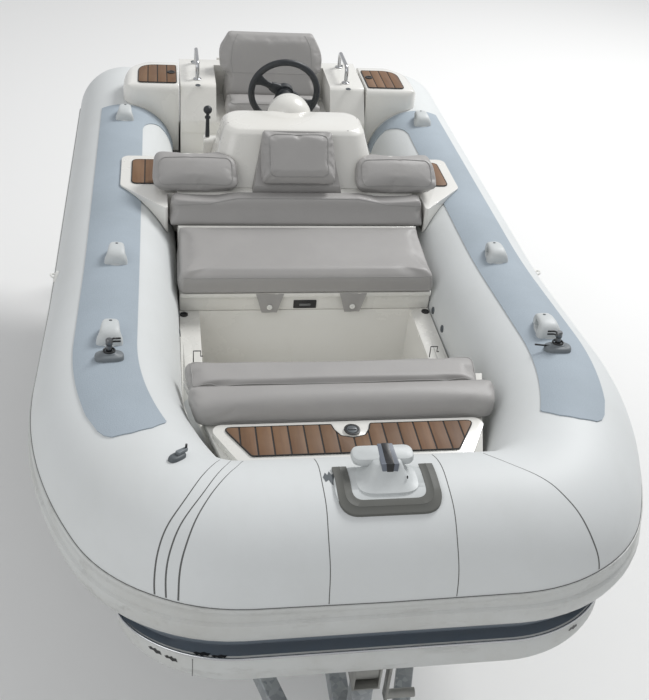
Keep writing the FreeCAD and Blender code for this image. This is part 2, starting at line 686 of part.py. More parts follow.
def bowLocker():
    low = "tube_axis_height + step_top_rise + seat_gap"
    corner = d.lid_corner
    outline = plan([(d.lid_front_half, d.lid_front, corner), (d.lid_aft_half, d.lid_aft, corner)])
    plate = prismBetween("lid_plate", "XY", outline, low, low + " + lid_thickness")
    barrel = rod("lid_barrel", "lid_hinge_radius", "2 * lid_hinge_half",
                 ("-lid_hinge_half", "lid_front - lid_hinge_radius", low + " + lid_hinge_radius"),
                 *ALONG_X)
    tongue = block("lid_tongue", ("2 * lid_hinge_half", "2 * lid_hinge_radius", "lid_hinge_radius"),
                   ("-lid_hinge_half", "lid_front - lid_hinge_radius", low + " + lid_hinge_radius"))
    latch = rod("lid_latch", "latch_radius", "lid_thickness + teak_thickness",
                ("0", "lid_aft - latch_margin", low))
    node("bow_locker_lid", joined("bow_locker_lid", [plate, barrel, tongue, latch]))
    margin = d.teak_margin
    front_half = d.lid_front_half - 1.1 * margin
    aft_half = d.lid_aft_half - 1.6 * margin
    front = d.lid_front + margin
    aft = d.lid_aft - 0.6 * margin
    inlay = prismBetween("lid_teak", "XY",
                         plan([(front_half, front, corner / 2), (aft_half, aft, corner / 2)]),
                         low + " + lid_thickness", low + " + lid_thickness + teak_thickness")
    notch = rod("lid_teak_notch", "1.8 * latch_radius", "lid_thickness + 2 * teak_thickness",
                ("0", "lid_aft - latch_margin", low))
    opening = block("lid_teak_opening", ("3.6 * latch_radius", "latch_margin",
                                         "lid_thickness + 2 * teak_thickness"),
                    ("-1.8 * latch_radius", "lid_aft - latch_margin", low))
    board = lessAll("lid_teak_notched", inlay, [notch, opening])
    top = rise(d.step_top_rise) + d.seat_gap + d.lid_thickness + d.teak_thickness
    node("teak_bow", planked("teak_bow", board, -aft_half, aft_half, front, aft, top))


def bowSeat():
    base = rise(d.step_top_rise) + d.seat_gap
    between = (d.bow_seat_front_half + d.bow_seat_aft_half) / 2
    roll_top = base + d.bolster_rise
    fat = 0.45 * d.bolster_rise
    roll = {"XY": plan([(d.bow_seat_front_half, d.bolster_front, fat), (between, d.bolster_aft, fat / 2)]),
            "YZ": [(d.bolster_front, base, fat / 2), (d.bolster_aft, base),
                   (d.bolster_aft, roll_top, fat), (d.bolster_front, roll_top, fat)]}
    node("bow_bolster", moulded("bow_bolster", roll))
    flat_top = base + d.bow_cushion_depth
    soft = 0.4 * d.bow_cushion_depth
    front = d.bolster_aft + d.side_gap / 3
    flat = {"XY": plan([(between, front), (d.bow_seat_aft_half, d.bow_cushion_aft, 2 * soft)]),
            "YZ": [(front, base), (d.bow_cushion_aft, base), (d.bow_cushion_aft, flat_top, soft),
                   (front, flat_top, soft)]}
    node("bow_cushion", moulded("bow_cushion", flat))


def frontBench():
    low = "tube_axis_height - ledge_drop"
    high = "tube_axis_height + bench_base_rise"
    length = "thwart_front - 1 - bench_front"
    outer = block("bench_outer", ("2 * bench_half_width", length, "bench_base_rise + ledge_drop"),
                  ("-bench_half_width", "bench_front", low))
    inner = block("bench_inner", ("2 * (bench_half_width - wall)", length + " - 2 * wall",
                                  "4 * bench_base_rise"),
                  ("-bench_half_width + wall", "bench_front + wall", low + " - bench_base_rise"))
    base = less("bench_sharp", outer, inner)
    doc.recompute()
    node("bench_base", feature("bench_base", largest(base.Shape.cut(collar_seat))))
    plate = block("bench_plate", ("2 * (bench_half_width - side_gap)",
                                  "bench_hinge_station + 2 - bench_front + bench_lid_overhang",
                                  "bench_lid_thickness"),
                  ("-bench_half_width + side_gap", "bench_front - bench_lid_overhang",
                   high + " + seat_gap"))
    stand = block("bench_upstand", ("2 * (bench_half_width - side_gap)", "8",
                                    "bench_hinge_rise - bench_base_rise"),
                  ("-bench_half_width + side_gap", "bench_hinge_station - 6", high + " + seat_gap"))
    barrel = rod("bench_barrel", "hinge_barrel", "2 * (bench_half_width - side_gap)",
                 ("-bench_half_width + side_gap", "bench_hinge_station",
                  "tube_axis_height + bench_hinge_rise"), *ALONG_X)
    node("bench_lid", joined("bench_lid", [plate, stand, barrel]))
    front = d.bench_front - d.bench_cushion_overhang
    aft = d.bench_hinge_station - d.hinge_barrel - d.side_gap
    seat_low = rise(d.bench_base_rise + d.bench_lid_thickness) + 2 * d.seat_gap
    seat_top = rise(d.bench_cushion_top)
    soft = d.bench_cushion_round
    half = d.bench_cushion_half
    cushion = {"XY": boxOutline(-half, half, front, aft, soft),
               "YZ": [(front, seat_low, soft / 2), (aft, seat_low), (aft, seat_top, soft / 3),
                      (front, seat_top, soft)]}
    node("bench_cushion", moulded("bench_cushion", cushion))
    seat = rise(d.thwart_seat_rise) + d.seat_gap
    top = rise(d.back_cushion_top)
    end_top = rise(d.back_cushion_end_top)
    half = d.back_cushion_half
    aft_top = d.thwart_slope_aft - 2 * d.side_gap
    soft = d.hinge_barrel * 2
    profile = [(d.thwart_front + 2 * d.side_gap, seat, soft), (d.thwart_slope_front - d.side_gap, seat),
               (aft_top, rise(d.thwart_rise)), (aft_top, top, soft),
               (d.thwart_front + d.back_cushion_depth, top, soft)]
    face = plan([(half, seat, soft), (half, end_top, 2 * soft), (d.back_step_outer, end_top, 3 * soft),
                 (d.back_step_inner, top, 3 * soft)])
    node("bench_back", moulded("bench_back", {"YZ": profile, "XZ": face}))


def midThwart():
    low = rise(-d.ledge_drop)
    seat = rise(d.thwart_seat_rise)
    top = rise(d.thwart_rise)
    outline = [(d.thwart_front, low), (d.thwart_front, seat), (d.thwart_slope_front, seat),
               (d.thwart_slope_aft, top), (d.thwart_aft, top), (d.thwart_aft, low)]
    outer = wide("thwart_outer", outline, "thwart_half_width")
    w = d.wall
    inner_outline = [(d.thwart_front + w, low - w), (d.thwart_front + w, seat - w),
                     (d.thwart_slope_front + 0.6 * w, seat - w), (d.thwart_slope_aft + 0.6 * w, top - w),
                     (d.thwart_aft - w, top - w), (d.thwart_aft - w, low - w)]
    inner = wide("thwart_inner", inner_outline, "thwart_half_width - wall")
    whole = less("thwart_sharp", outer, inner)
    doc.recompute()
    node("mid_thwart", feature("mid_thwart", largest(whole.Shape.cut(collar_seat))))
    edge = d.thwart_half_width + d.seat_gap
    beside = d.back_cushion_half + d.side_gap
    corner = d.side_step_corner
    front = d.thwart_front + d.side_step_front_run
    shelf = d.thwart_slope_aft + d.wall
    outline = [(edge, shelf), (beside, shelf), (beside, d.thwart_front, corner / 4),
               (d.side_step_half, front, corner), (d.side_step_half, d.thwart_aft, corner),
               (edge, d.thwart_aft)]
    step = prismBetween("side_step", "XY", outline, "tube_axis_height + 3 * wall",
                        "tube_axis_height + side_step_rise")
    doc.recompute()
    one = largest(step.Shape.cut(step_seat))
    node("side_steps", pair("side_steps", feature("side_step_port", one)))
    margin = d.side_teak_margin
    outer_x = d.side_step_half - margin
    inner_x = edge + margin / 2
    teak_front = front + margin / 5
    teak_aft = d.thwart_aft - margin
    teak = prismBetween("side_teak", "XY",
                        [(inner_x, teak_front), (outer_x, teak_front, corner / 2),
                         (outer_x, teak_aft, corner / 2), (inner_x, teak_aft)],
                        "tube_axis_height + side_step_rise",
                        "tube_axis_height + side_step_rise + teak_thickness")
    board = planked("side_teak_planks", teak, inner_x, outer_x, teak_front, teak_aft,
                    rise(d.side_step_rise) + d.teak_thickness)
    node("teak_mid", pair("teak_mid", board))


def roundedRing(half, front, aft, height, corner):
    """A level rectangle with round corners as one closed wire."""
    outline = boxOutline(-half, half, front, aft, corner)
    wire = Part.Wire([edge.toShape() for edge, begin, end in outlineEdges(outline)])
    wire.translate(vec(0, 0, height))
    return wire


def consoleRings(inset):
    """Level rings up the console, its shoulder turned through a quarter circle."""
    shoulder = d.console_shoulder
    knee = d.console_top_rise - shoulder
    knee_front = d.console_base_front + d.console_front_run
    rows = [(d.thwart_rise + d.seat_gap, d.console_base_half, d.console_base_front, 0)]
    for degrees in (0, 30, 60, 90):
        turn = math.radians(degrees)
        pulled = shoulder * (1 - math.cos(turn))
        rows.append((knee + shoulder * math.sin(turn), d.console_knee_half - pulled,
                     knee_front + pulled, pulled))
    rings = []
    for up, half, front, pulled in rows:
        # the lowest ring goes down, so that the loft reaches past the thwart
        drop = abs(inset) if up < knee else inset
        rings.append(roundedRing(half - inset, front + inset, d.console_aft - pulled - inset,
                                 rise(up) - drop, d.console_corner - inset))
    return rings


def console():
    outer = Part.makeLoft(consoleRings(0), True, True)
    inner = Part.makeLoft(consoleRings(d.console_skin), True, True)
    node("console", feature("console", outer.cut(inner)))
    # the column's round cowl is turned about the wheel's axis
    rake = math.radians(d.wheel_rake)
    near = d.wheel_hub_length / 2 + d.seat_gap
    dome = d.column_dome_radius
    far = d.column_dome_reach
    half_way = math.sqrt(0.5) * dome
    edges = [Part.LineSegment(vec(0, -near, 0), vec(0, -near, d.column_tip_radius)).toShape(),
             Part.LineSegment(vec(0, -near, d.column_tip_radius), vec(0, -far, dome)).toShape(),
             Part.Arc(vec(0, -far, dome), vec(0, -far - half_way, half_way),
                      vec(0, -far - dome, 0)).toShape(),
             Part.LineSegment(vec(0, -far - dome, 0), vec(0, -near, 0)).toShape()]
    cowl = Part.Face(Part.Wire(edges)).revolve(vec(0, 0, 0), vec(0, 1, 0), 360)
    cowl.rotate(vec(0, 0, 0), vec(1, 0, 0), math.degrees(rake))
    cowl.translate(vec(0, d.wheel_station, rise(d.wheel_rise)))
    grown = Part.makeLoft(consoleRings(-d.seat_gap), True, True)
    node("dash_column", feature("dash_column", largest(cowl.cut(grown))))


def steeringWheel():
    thick = d.wheel_rim_thickness / 2
    rim = Part.makeTorus(d.wheel_rim_radius, thick)
    hub = Part.makeCylinder(d.wheel_hub_radius, d.wheel_hub_length, vec(0, 0, -d.wheel_hub_length / 2))
    cap = Part.makeCone(0.8 * d.wheel_hub_radius, 0.5 * d.wheel_hub_radius, thick / 2,
                        vec(0, 0, d.wheel_hub_length / 2))
    wheel = [rim, hub, cap]
    start = d.wheel_hub_radius / 2
    narrow = d.spoke_hub_width / 2
    broad = d.spoke_rim_width / 2
    spoke = slab([(start, -narrow), (d.wheel_rim_radius, -broad), (d.wheel_rim_radius, broad),
                  (start, narrow)], d.spoke_thickness)
    spoke.translate(vec(0, 0, -d.spoke_thickness / 2))
    # two spokes in line and one across, the wheel left a little turned
    for degrees in (0, 180, 270):
        arm = spoke.copy()
        arm.rotate(vec(0, 0, 0), vec(0, 0, 1), degrees + d.wheel_turned)
        wheel.append(arm)
    shape = wheel[0].multiFuse(wheel[1:]).removeSplitter()
    piece = feature("steering_wheel", shape)
    upright = FreeCAD.Rotation(vec(1, 0, 0), d.wheel_rake - 90)
    turned = upright.multiply(FreeCAD.Rotation(vec(0, 0, 1), 180))
    piece.Placement = FreeCAD.Placement(vec(0, d.wheel_station, rise(d.wheel_rise)), turned)
    node("steering_wheel", piece)


def throttleLever():
    x = -d.throttle_offset
    y = d.console_aft - d.throttle_aft_gap
    z = rise(d.throttle_rise)
    outer = d.throttle_offset + d.throttle_base_width / 4
    base = slab(boxOutline(y - d.throttle_base_length / 2, y + d.throttle_base_length / 2,
                           z - d.throttle_base_height / 2, z + d.throttle_base_height / 2, 12),
                d.throttle_base_width)
    # drawn on station and height, then turned to face outboard
    base.rotate(vec(0, 0, 0), vec(1, 1, 1), 120)
    base.translate(vec(-outer, 0, 0))
    base = base.cut(Part.makeLoft(consoleRings(-d.seat_gap), True, True))
    knob = vec(x, y + 0.05 * d.throttle_reach, z + d.throttle_reach)
    heading = (knob - vec(x, y, z)).normalize()
    lever = Part.makeCone(1.3 * d.throttle_rod, 0.8 * d.throttle_rod, d.throttle_reach, vec(x, y, z), heading)
    ball = Part.makeSphere(d.throttle_knob_radius, knob)
    ring = Part.makeCylinder(1.5 * d.throttle_rod, d.throttle_rod, knob - heading * 2 * d.throttle_knob_radius,
                             heading)
    node("throttle", feature("throttle", largest(base.multiFuse([lever, ball, ring]).removeSplitter())))


def leaningOutline(foot, height, thickness, radius):
    """A pad's side view, leaning back from the foot of its front face."""
    lean = math.radians(d.pad_lean)
    along = vec(math.sin(lean), math.cos(lean), 0)
    across = vec(math.cos(lean), -math.sin(lean), 0)
    start = vec(foot[0], foot[1], 0)
    corners = [start, start + along * height, start + along * height + across * thickness,
               start + across * thickness]
    return [(corner.x, corner.y, radius) for corner in corners]


def consolePads():
    thwart_top = rise(d.thwart_rise) + d.seat_gap
    outer = Part.makeLoft(consoleRings(-3 * d.seat_gap), True, True)
    soft = d.pad_round
    foot = (d.centre_pad_front, rise(d.centre_pad_rise))
    side = leaningOutline(foot, d.centre_pad_height, d.centre_pad_thickness, soft)
    low = min(p[1] for p in side)
    high = max(p[1] for p in side)
    half = d.centre_pad_width / 2
    face = boxOutline(-half, half, low, high, 1.3 * soft)
    node("centre_pad", moulded("centre_pad", {"YZ": side, "XZ": face}))
    # the shell carries the pad on the console's front
    rear = leaningOutline(foot, d.centre_pad_height, d.centre_pad_thickness + d.seat_gap, 0)
    (high_y, high_z), (low_y, low_z) = rear[2][:2], rear[3][:2]
    base = rise(d.thwart_rise)
    wedge = [(low_y, low_z), (high_y, high_z), (high_y + d.pad_shell_depth, high_z),
             (low_y + 2 * d.pad_shell_depth, base), (low_y, base)]
    shell_face = plan([(d.pad_shell_base_half, base), (d.pad_shell_top_half, rise(d.console_top_rise), soft)])
    shell = moulded("shell_sharp", {"YZ": wedge, "XZ": shell_face})
    doc.recompute()
    above = Part.makeBox(d.overall_beam, d.collar_end_station, d.tube_axis_height,
                         vec(-d.overall_beam / 2, 0, thwart_top))
    node("pad_shell", feature("pad_shell", largest(shell.Shape.cut(outer).common(above))))
    # side pads stand on the thwart and reach out over the ends of the back cushion
    under = rise(d.back_cushion_top) + d.side_gap
    front = d.centre_pad_front + d.side_gap
    rear = front + d.side_pad_run + d.side_pad_depth
    foot_station = d.thwart_slope_aft + d.side_gap
    top = under + d.side_pad_height
    side = [(front, under, soft / 2), (front + d.side_pad_run, top, soft), (rear, top, soft),
            (rear, thwart_top), (foot_station, thwart_top), (foot_station, under)]
    face = boxOutline(d.side_pad_inner, d.side_pad_outer, thwart_top, top, d.side_pad_corner)
    pad = moulded("side_pad", {"YZ": side, "XZ": face})
    doc.recompute()
    one = largest(pad.Shape.cut(outer))
    node("side_pads", pair("side_pads", feature("side_pad_port", one)))


def engineBay():
    low = "tube_axis_height - floor_drop - floor_thickness"
    outer = block("bay_outer", ("2 * liner_half_width", "bay_aft - bay_front",
                                "bay_wall_rise + floor_drop + floor_thickness"),
                  ("-liner_half_width", "bay_front", low))
    inner = block("bay_inner", ("2 * (liner_half_width - wall)", "bay_aft - bay_front - 2 * wall",
                                "2 * (bay_wall_rise + floor_drop)"),
                  ("-liner_half_width + wall", "bay_front + wall", low + " - 3 * wall"))
    bay = less("bay_sharp", outer, inner)
    doc.recompute()
    # two hinge straps stand behind the hatch and carry its pin
    strap = 3 * d.wall
    thick = d.hatch_hinge_gap - 2 * d.seat_gap
    straps = []
    for side in (-1, 1):
        x = side * d.hatch_half_width / 2 - strap / 2
        straps.append(Part.makeBox(strap, thick, d.hatch_rise - d.bay_wall_rise + strap,
                                   vec(x, d.hatch_aft + d.seat_gap, rise(d.bay_wall_rise) - strap)))
        straps.append(Part.makeCylinder(d.hatch_hinge_gap - 2 * d.seat_gap, strap,
                                        vec(x, d.hatch_hinge_station, rise(d.hatch_rise)), vec(1, 0, 0)))
    shell = bay.Shape.cut(nodes["hull_shell"].Shape).multiFuse(straps).removeSplitter()
    node("engine_bay", feature("engine_bay", largest(shell)))
    node("engine_block", block("engine_block", ("engine_width", "engine_length", "engine_height"),
                               ("-engine_width / 2", "bay_front + wall + 5 * side_gap",
                                "tube_axis_height - floor_drop - floor_thickness + seat_gap")))


def engineHatch():
    low = rise(d.bay_wall_rise) + d.seat_gap
    top = rise(d.hatch_rise)
    seat = rise(d.helm_seat_rise)
    slope_top = d.hatch_front + d.hatch_slope_run
    profile = [(d.hatch_front, low), (d.hatch_front, seat, d.hatch_round),
               (slope_top, top, d.hatch_round), (d.hatch_aft, top, d.hatch_round / 3),
               (d.hatch_aft, low)]
    outer = wide("hatch_outer", profile, "hatch_half_width")
    ahead = d.hatch_front - d.wall
    above = top + d.wall
    recess_profile = [(ahead, seat), (ahead, above), (d.helm_recess_aft, above), (d.helm_recess_aft, seat)]
    recess = wide("hatch_recess", recess_profile, "helm_recess_half")
    s = d.hatch_skin
    under_profile = [(d.hatch_front + s, low - s), (d.hatch_front + 1.2 * s, seat - s),
                     (d.hatch_aft - s, seat - s), (d.hatch_aft - s, low - s)]
    under = wide("hatch_under", under_profile, "hatch_half_width - hatch_skin")
    hollow_profile = [(d.hatch_front + 1.8 * s, seat - s - 1), (slope_top + 0.8 * s, top - s),
                      (d.hatch_aft - s, top - s), (d.hatch_aft - s, seat - s - 1)]
    hollow = wide("hatch_hollow", hollow_profile, "hatch_half_width - hatch_skin")
    keep = wide("hatch_keep", [(ahead, seat - s - 2), (ahead, above), (d.helm_recess_aft + s, above),
                               (d.helm_recess_aft + s, seat - s - 2)], "helm_recess_half + hatch_skin")
    shoulders = less("hatch_shoulders", hollow, keep)
    node("engine_hatch", lessAll("engine_hatch", outer, [recess, under, shoulders]))


def helmSeat():
    seat = rise(d.helm_seat_rise) + d.seat_gap
    top = seat + d.helm_cushion_depth
    front = d.hatch_front + d.helm_side_gap
    aft = front + d.helm_seat_length
    soft = 0.3 * d.helm_cushion_depth
    half = d.helm_seat_half
    cushion = {"XY": boxOutline(-half, half, front, aft, soft),
               "YZ": [(front, seat, soft / 3), (aft, seat), (aft, top, soft / 2), (front, top, soft)]}
    node("helm_seat", moulded("helm_seat", cushion))
    crown = rise(d.helm_back_top)
    foot = d.helm_back_front
    lean = foot + d.helm_back_lean
    behind = d.helm_recess_aft - 2 * d.side_gap
    side = [(foot, seat), (foot, top), (lean, crown, soft), (lean + d.helm_back_thickness, crown, soft),
            (behind, rise(d.hatch_rise) + d.helm_side_gap), (behind, seat)]
    crease = rise(d.helm_crease_rise)
    widest = crease + 1.4 * soft
    face = plan([(half, seat), (half + d.side_gap, crease, soft / 2), (d.helm_half_width, widest, soft),
                 (d.helm_half_width, widest + 3 * soft, 4 * soft), (d.helm_back_top_half, crown, soft)])
    node("helm_back", moulded("helm_back", {"YZ": side, "XZ": face}))


def hatchHandles():
    x = d.handle_offset
    foot = rise(d.hatch_rise) + d.seat_gap
    high = foot + d.handle_height
    aft = d.handle_front + d.handle_length
    bend = 0.35 * d.handle_height
    loop = bentRod([(x, d.handle_front, foot), (x, d.handle_front, high), (x, aft, high), (x, aft, foot)],
                   bend, d.handle_rod)
    feet = [Part.makeCylinder(d.handle_foot, d.handle_rod / 2, vec(x, y, foot)) for y in (d.handle_front, aft)]
    shape = loop.multiFuse(feet).removeSplitter()
    node("hatch_handles", pair("hatch_handles", feature("handle_port", shape)))


def aftPods():
    top = rise(d.pod_rise)
    low = rise(-d.ledge_drop)
    views = {"XY": [(d.pod_inner, d.pod_front), (d.pod_outer, d.pod_front, d.pod_front_corner),
                    (d.pod_outer, d.pod_aft, d.pod_aft_corner), (d.pod_inner, d.pod_aft)],
             "XZ": [(d.pod_inner, low), (d.pod_inner, top), (d.pod_outer, top, d.pod_round),
                    (d.pod_outer, low)],
             "YZ": [(d.pod_front, low), (d.pod_front, top, d.pod_front_round),
                    (d.pod_aft, top, d.pod_round), (d.pod_aft, low)]}
    pod = moulded("pod", views)
    doc.recompute()
    one = largest(pod.Shape.cut(collar_seat))
    node("aft_pods", pair("aft_pods", feature("pod_port", one)))
    inner_x = d.pod_inner + 3 * d.side_gap
    outer_x = d.pod_outer - 1.5 * d.pod_round
    front = d.pod_front + 0.8 * d.pod_front_round
    aft = d.pod_aft - 1.8 * d.pod_round
    inlay = prismBetween("pod_teak", "XY",
                         [(inner_x, front, 8), (outer_x, front, 12),
                          (outer_x, aft, 0.4 * d.pod_aft_corner), (inner_x, aft, 8)],
                         "tube_axis_height + pod_rise", "tube_axis_height + pod_rise + teak_thickness")
    board = planked("pod_teak_planks", inlay, inner_x, outer_x, front, aft,
                    rise(d.pod_rise) + d.teak_thickness)
    node("teak_aft", pair("teak_aft", board))


def revolveAlong(points, height):
    """Turns a closed outline of (station, radius) about a level fore and aft line."""
    face = Part.Face(Part.makePolygon([vec(0, y, r) for y, r in points + points[:1]]))
    solid = face.revolve(vec(0, 0, 0), vec(0, 1, 0), 360)
    solid.translate(vec(0, 0, height))
    return solid


def boxAbout(x, y, z, low, high):
    """A box given by its lower and upper corners from a point."""
    size = [b - a for a, b in zip(low, high)]
    return Part.makeBox(*size, vec(x + low[0], y + low[1], z + low[2]))


def jetDuct(z):
    bore = d.duct_bore
    outer = bore + d.duct_wall
    flange = d.transom_station + d.seat_gap
    pivot = d.nozzle_pivot_station
    ball = d.nozzle_ball
    plate = flange + 14
    outline = [(d.duct_front, bore), (plate - 6, bore), (pivot - 48, 50), (pivot - 10, 47),
               (pivot - 10, 68), (pivot - 20, ball - 3), (pivot - 32, 60), (pivot - 43, 55),
               (plate + 12, 58), (plate, outer), (d.duct_front, outer)]
    duct = revolveAlong(outline, z)
    flange_plate = boxAbout(0, flange, z, (-145, 0, -75), (145, 14, 100))
    flange_plate = flange_plate.cut(Part.makeCylinder(bore, 40, vec(0, flange - 10, z), vec(0, 1, 0)))
    parts = [duct, flange_plate]
    shell = ball + 6 + 7
    for up in (1, -1):
        reach = sorted((up * (shell + 7), up * (shell + 17)))
        parts.append(boxAbout(0, flange, z, (-12, 0, reach[0]), (12, pivot + 12 - flange, reach[1])))
        parts.append(Part.makeCylinder(7, 10, vec(0, pivot, z + up * (shell + d.seat_gap)), vec(0, 0, up)))
    ear = d.bucket_radius - 2
    for side in (1, -1):
        reach = sorted((side * ear, side * (ear + 8)))
        parts.append(boxAbout(0, flange, z, (reach[0], 0, -24),
                              (reach[1], d.bucket_pivot_station + 16 - flange, 24)))
        parts.append(Part.makeCylinder(7, 8, vec(side * (ear - 7.3), d.bucket_pivot_station, z),
                                       vec(side, 0, 0)))
    # the bearing that carries the impeller's shaft
    y = d.duct_front + 15
    bearing = Part.makeCylinder(24, 30, vec(0, y, z), vec(0, 1, 0))
    for k in range(3):
        vane = Part.makeBox(6, 30, bore - 10, vec(-3, 0, 14))
        vane.rotate(vec(0, 0, 0), vec(0, 1, 0), 120 * k)
        vane.translate(vec(0, y, z))
        bearing = bearing.fuse(vane)
    parts.append(bearing)
    whole = parts[0].multiFuse(parts[1:])
    return whole.cut(Part.makeCylinder(13.05, 60, vec(0, y - 15, z), vec(0, 1, 0))).removeSplitter()


def impeller(z):
    hub = Part.makeCone(16, 30, 60, vec(0, d.impeller_station - 30, z), vec(0, 1, 0))
    shaft = Part.makeCylinder(13, d.impeller_station - 30 - d.duct_front, vec(0, d.duct_front, z),
                              vec(0, 1, 0))
    tail = Part.makeCone(30, 10, 50, vec(0, d.impeller_station + 30, z), vec(0, 1, 0))
    parts = [hub, shaft, tail]
    for k in range(4):
        blade = Part.makeBox(5, 62, d.impeller_radius - 12, vec(-2.5, -31, 12))
        blade.rotate(vec(0, 0, 0), vec(0, 0, 1), 28)
        ring = Part.makeCylinder(d.impeller_radius, 90, vec(0, -45, 0), vec(0, 1, 0))
        blade = blade.common(ring)
        blade.rotate(vec(0, 0, 0), vec(0, 1, 0), 90 * k)
        blade.translate(vec(0, d.impeller_station, z))
        parts.append(blade)
    return parts[0].multiFuse(parts[1:]).removeSplitter()


def jetNozzle(z):
    pivot = d.nozzle_pivot_station
    inner = d.nozzle_ball + 6
    outer = inner + 7

    def around(radius, ahead):
        return math.sqrt(radius * radius - ahead * ahead)

    stops = (-15, 0, 15, 30)
    outside = [(pivot + t, around(outer, t)) for t in stops] + [(pivot + 70, d.nozzle_exit + 6)]
    inside = [(pivot + t, around(inner, t)) for t in stops] + [(pivot + 70, d.nozzle_exit)]
    return revolveAlong(outside + inside[::-1], z)


def reverseBucket(z):
    radius = d.bucket_radius
    y = d.bucket_pivot_station
    ball = Part.makeSphere(radius + 8).cut(Part.makeSphere(radius))
    fan = [vec(-110, 0, 0)] + [vec(-110, 300 * math.cos(math.radians(a)), 300 * math.sin(math.radians(a)))
                               for a in (35, 67, 100)]
    sector = Part.Face(Part.makePolygon(fan + fan[:1])).extrude(vec(220, 0, 0))
    cap = largest(ball.common(sector))
    parts = [cap]
    for side in (1, -1):
        arm = Part.makeBox(8, 44, 84, vec(side * (radius - 14) - 4, -22, -16))
        arm.rotate(vec(0, 0, 0), vec(1, 0, 0), -23)
        parts.append(arm)
    bucket = parts[0].multiFuse(parts[1:])
    for side in (1, -1):
        bucket = bucket.fuse(Part.makeCylinder(7.5, 1, vec(side * (radius - 10.5), 0, 0), vec(side, 0, 0)))
    bucket.translate(vec(0, y, z))
    return bucket.removeSplitter()


def intakeGrate():
    slope = hullSlope()
    keel_low = rise(-d.keel_drop) - d.seat_gap
    start = d.grate_front
    length = d.grate_length
    parts = []
    for k in range(5):
        x = (k - 2) * 28
        z = keel_low + abs(x) * math.tan(slope) - 14
        parts.append(Part.makeBox(6, length, 12, vec(x - 3, start, z)))
    for y in (start, start + length - 12):
        vee = [vec(-60, y, keel_low + 60 * math.tan(slope)), vec(0, y, keel_low),
               vec(60, y, keel_low + 60 * math.tan(slope)), vec(60, y, keel_low + 60 * math.tan(slope) - 14),
               vec(0, y, keel_low - 14), vec(-60, y, keel_low + 60 * math.tan(slope) - 14)]
        parts.append(Part.Face(Part.makePolygon(vee + vee[:1])).extrude(vec(0, 12, 0)))
    return parts[0].multiFuse(parts[1:]).removeSplitter()


def hullSlope():
    keel, chine = hullSections()[0][1][:2]
    return math.atan2(chine[1] - keel[1], chine[0])


def jetDrive():
    z = rise(-d.jet_drop)
    node("jet_duct", feature("jet_duct", jetDuct(z)))
    node("impeller", feature("impeller", impeller(z)))
    node("jet_nozzle", feature("jet_nozzle", jetNozzle(z)))
    node("reverse_bucket", feature("reverse_bucket", reverseBucket(z)))
    node("intake_grate", feature("intake_grate", intakeGrate()))


def onCollar(distance, side, angle, height, shape):
    """Sets a fitting, drawn over the origin with +Z outwards, on the tube."""
    point, ahead, out, up = collarFrame(distance)
    turn = math.radians(angle)
    outward = out * math.cos(turn) + up * math.sin(turn)
    across = out * math.sin(turn) - up * math.cos(turn)
    seated = shape.copy()
    seated.Placement = FreeCAD.Placement(point + outward * height,
                                         FreeCAD.Rotation(across, across.cross(outward) * -1,
                                                          outward, "ZXY"))
    return seated if side > 0 else seated.mirror(vec(0, 0, 0), vec(1, 0, 0))


def grabHandle():
    """A hooded arch, open across the tube, with a lashing hole."""
    half = d.handle_pad_length / 2
    high = d.handle_pad_height
    sunk = d.handle_rod
    side = slab([(-half, -sunk), (half, -sunk), (half, 0), (0.62 * half, high, 16), (-0.5 * half, high, 16),
                 (-half, 0)], d.handle_pad_width)
    opening = slab(boxOutline(-d.handle_opening / 2, d.handle_opening / 2, 10,
                              10 + d.handle_opening_height, 9), d.handle_pad_width)
    hood = side.cut(opening)
    hood.rotate(vec(0, 0, 0), vec(1, 1, 1), 120)
    hood.translate(vec(-d.handle_pad_width / 2, 0, 0))
    half_width = d.handle_pad_width / 2
    crown = slab([(-half_width, -sunk), (half_width, -sunk), (half_width, 0.4 * high),
                  (0.8 * half_width, high, 14), (-0.8 * half_width, high, 14), (-half_width, 0.4 * high)],
                 d.handle_pad_length)
    crown.rotate(vec(0, 0, 0), vec(1, 0, 0), 90)
    crown.translate(vec(0, half, 0))
    hole = Part.makeCylinder(5, 2 * high, vec(0, 0.75 * half, 0))
    tapered = slab([(-half_width, -half, 8), (half_width, -half, 8), (0.55 * half_width, half, 14),
                    (-0.55 * half_width, half, 14)], 2 * high)
    tapered.translate(vec(0, 0, -sunk))
    return hood.common(crown).common(tapered).cut(hole)


def rowlock():
    """An oval pad with a forked post."""
    sunk = d.handle_rod
    pad = slab(boxOutline(-d.rowlock_width / 2, d.rowlock_width / 2, -d.rowlock_length / 2,
                          d.rowlock_length / 2, 0.48 * d.rowlock_length), sunk + 12)
    pad.translate(vec(0, 0, -sunk))
    post = Part.makeCylinder(1.5 * d.rowlock_bore, 34, vec(0, 8, 4))
    cup = Part.makeCylinder(2.2 * d.rowlock_bore, 26, vec(0, 8, 34))
    hole = Part.makeCylinder(d.rowlock_bore, 40, vec(0, 8, 30))
    mouth = Part.makeBox(d.rowlock_bore, 60, 20, vec(-d.rowlock_bore / 2, -30, 46))
    return pad.multiFuse([post, cup]).cut(hole.fuse(mouth)).removeSplitter()


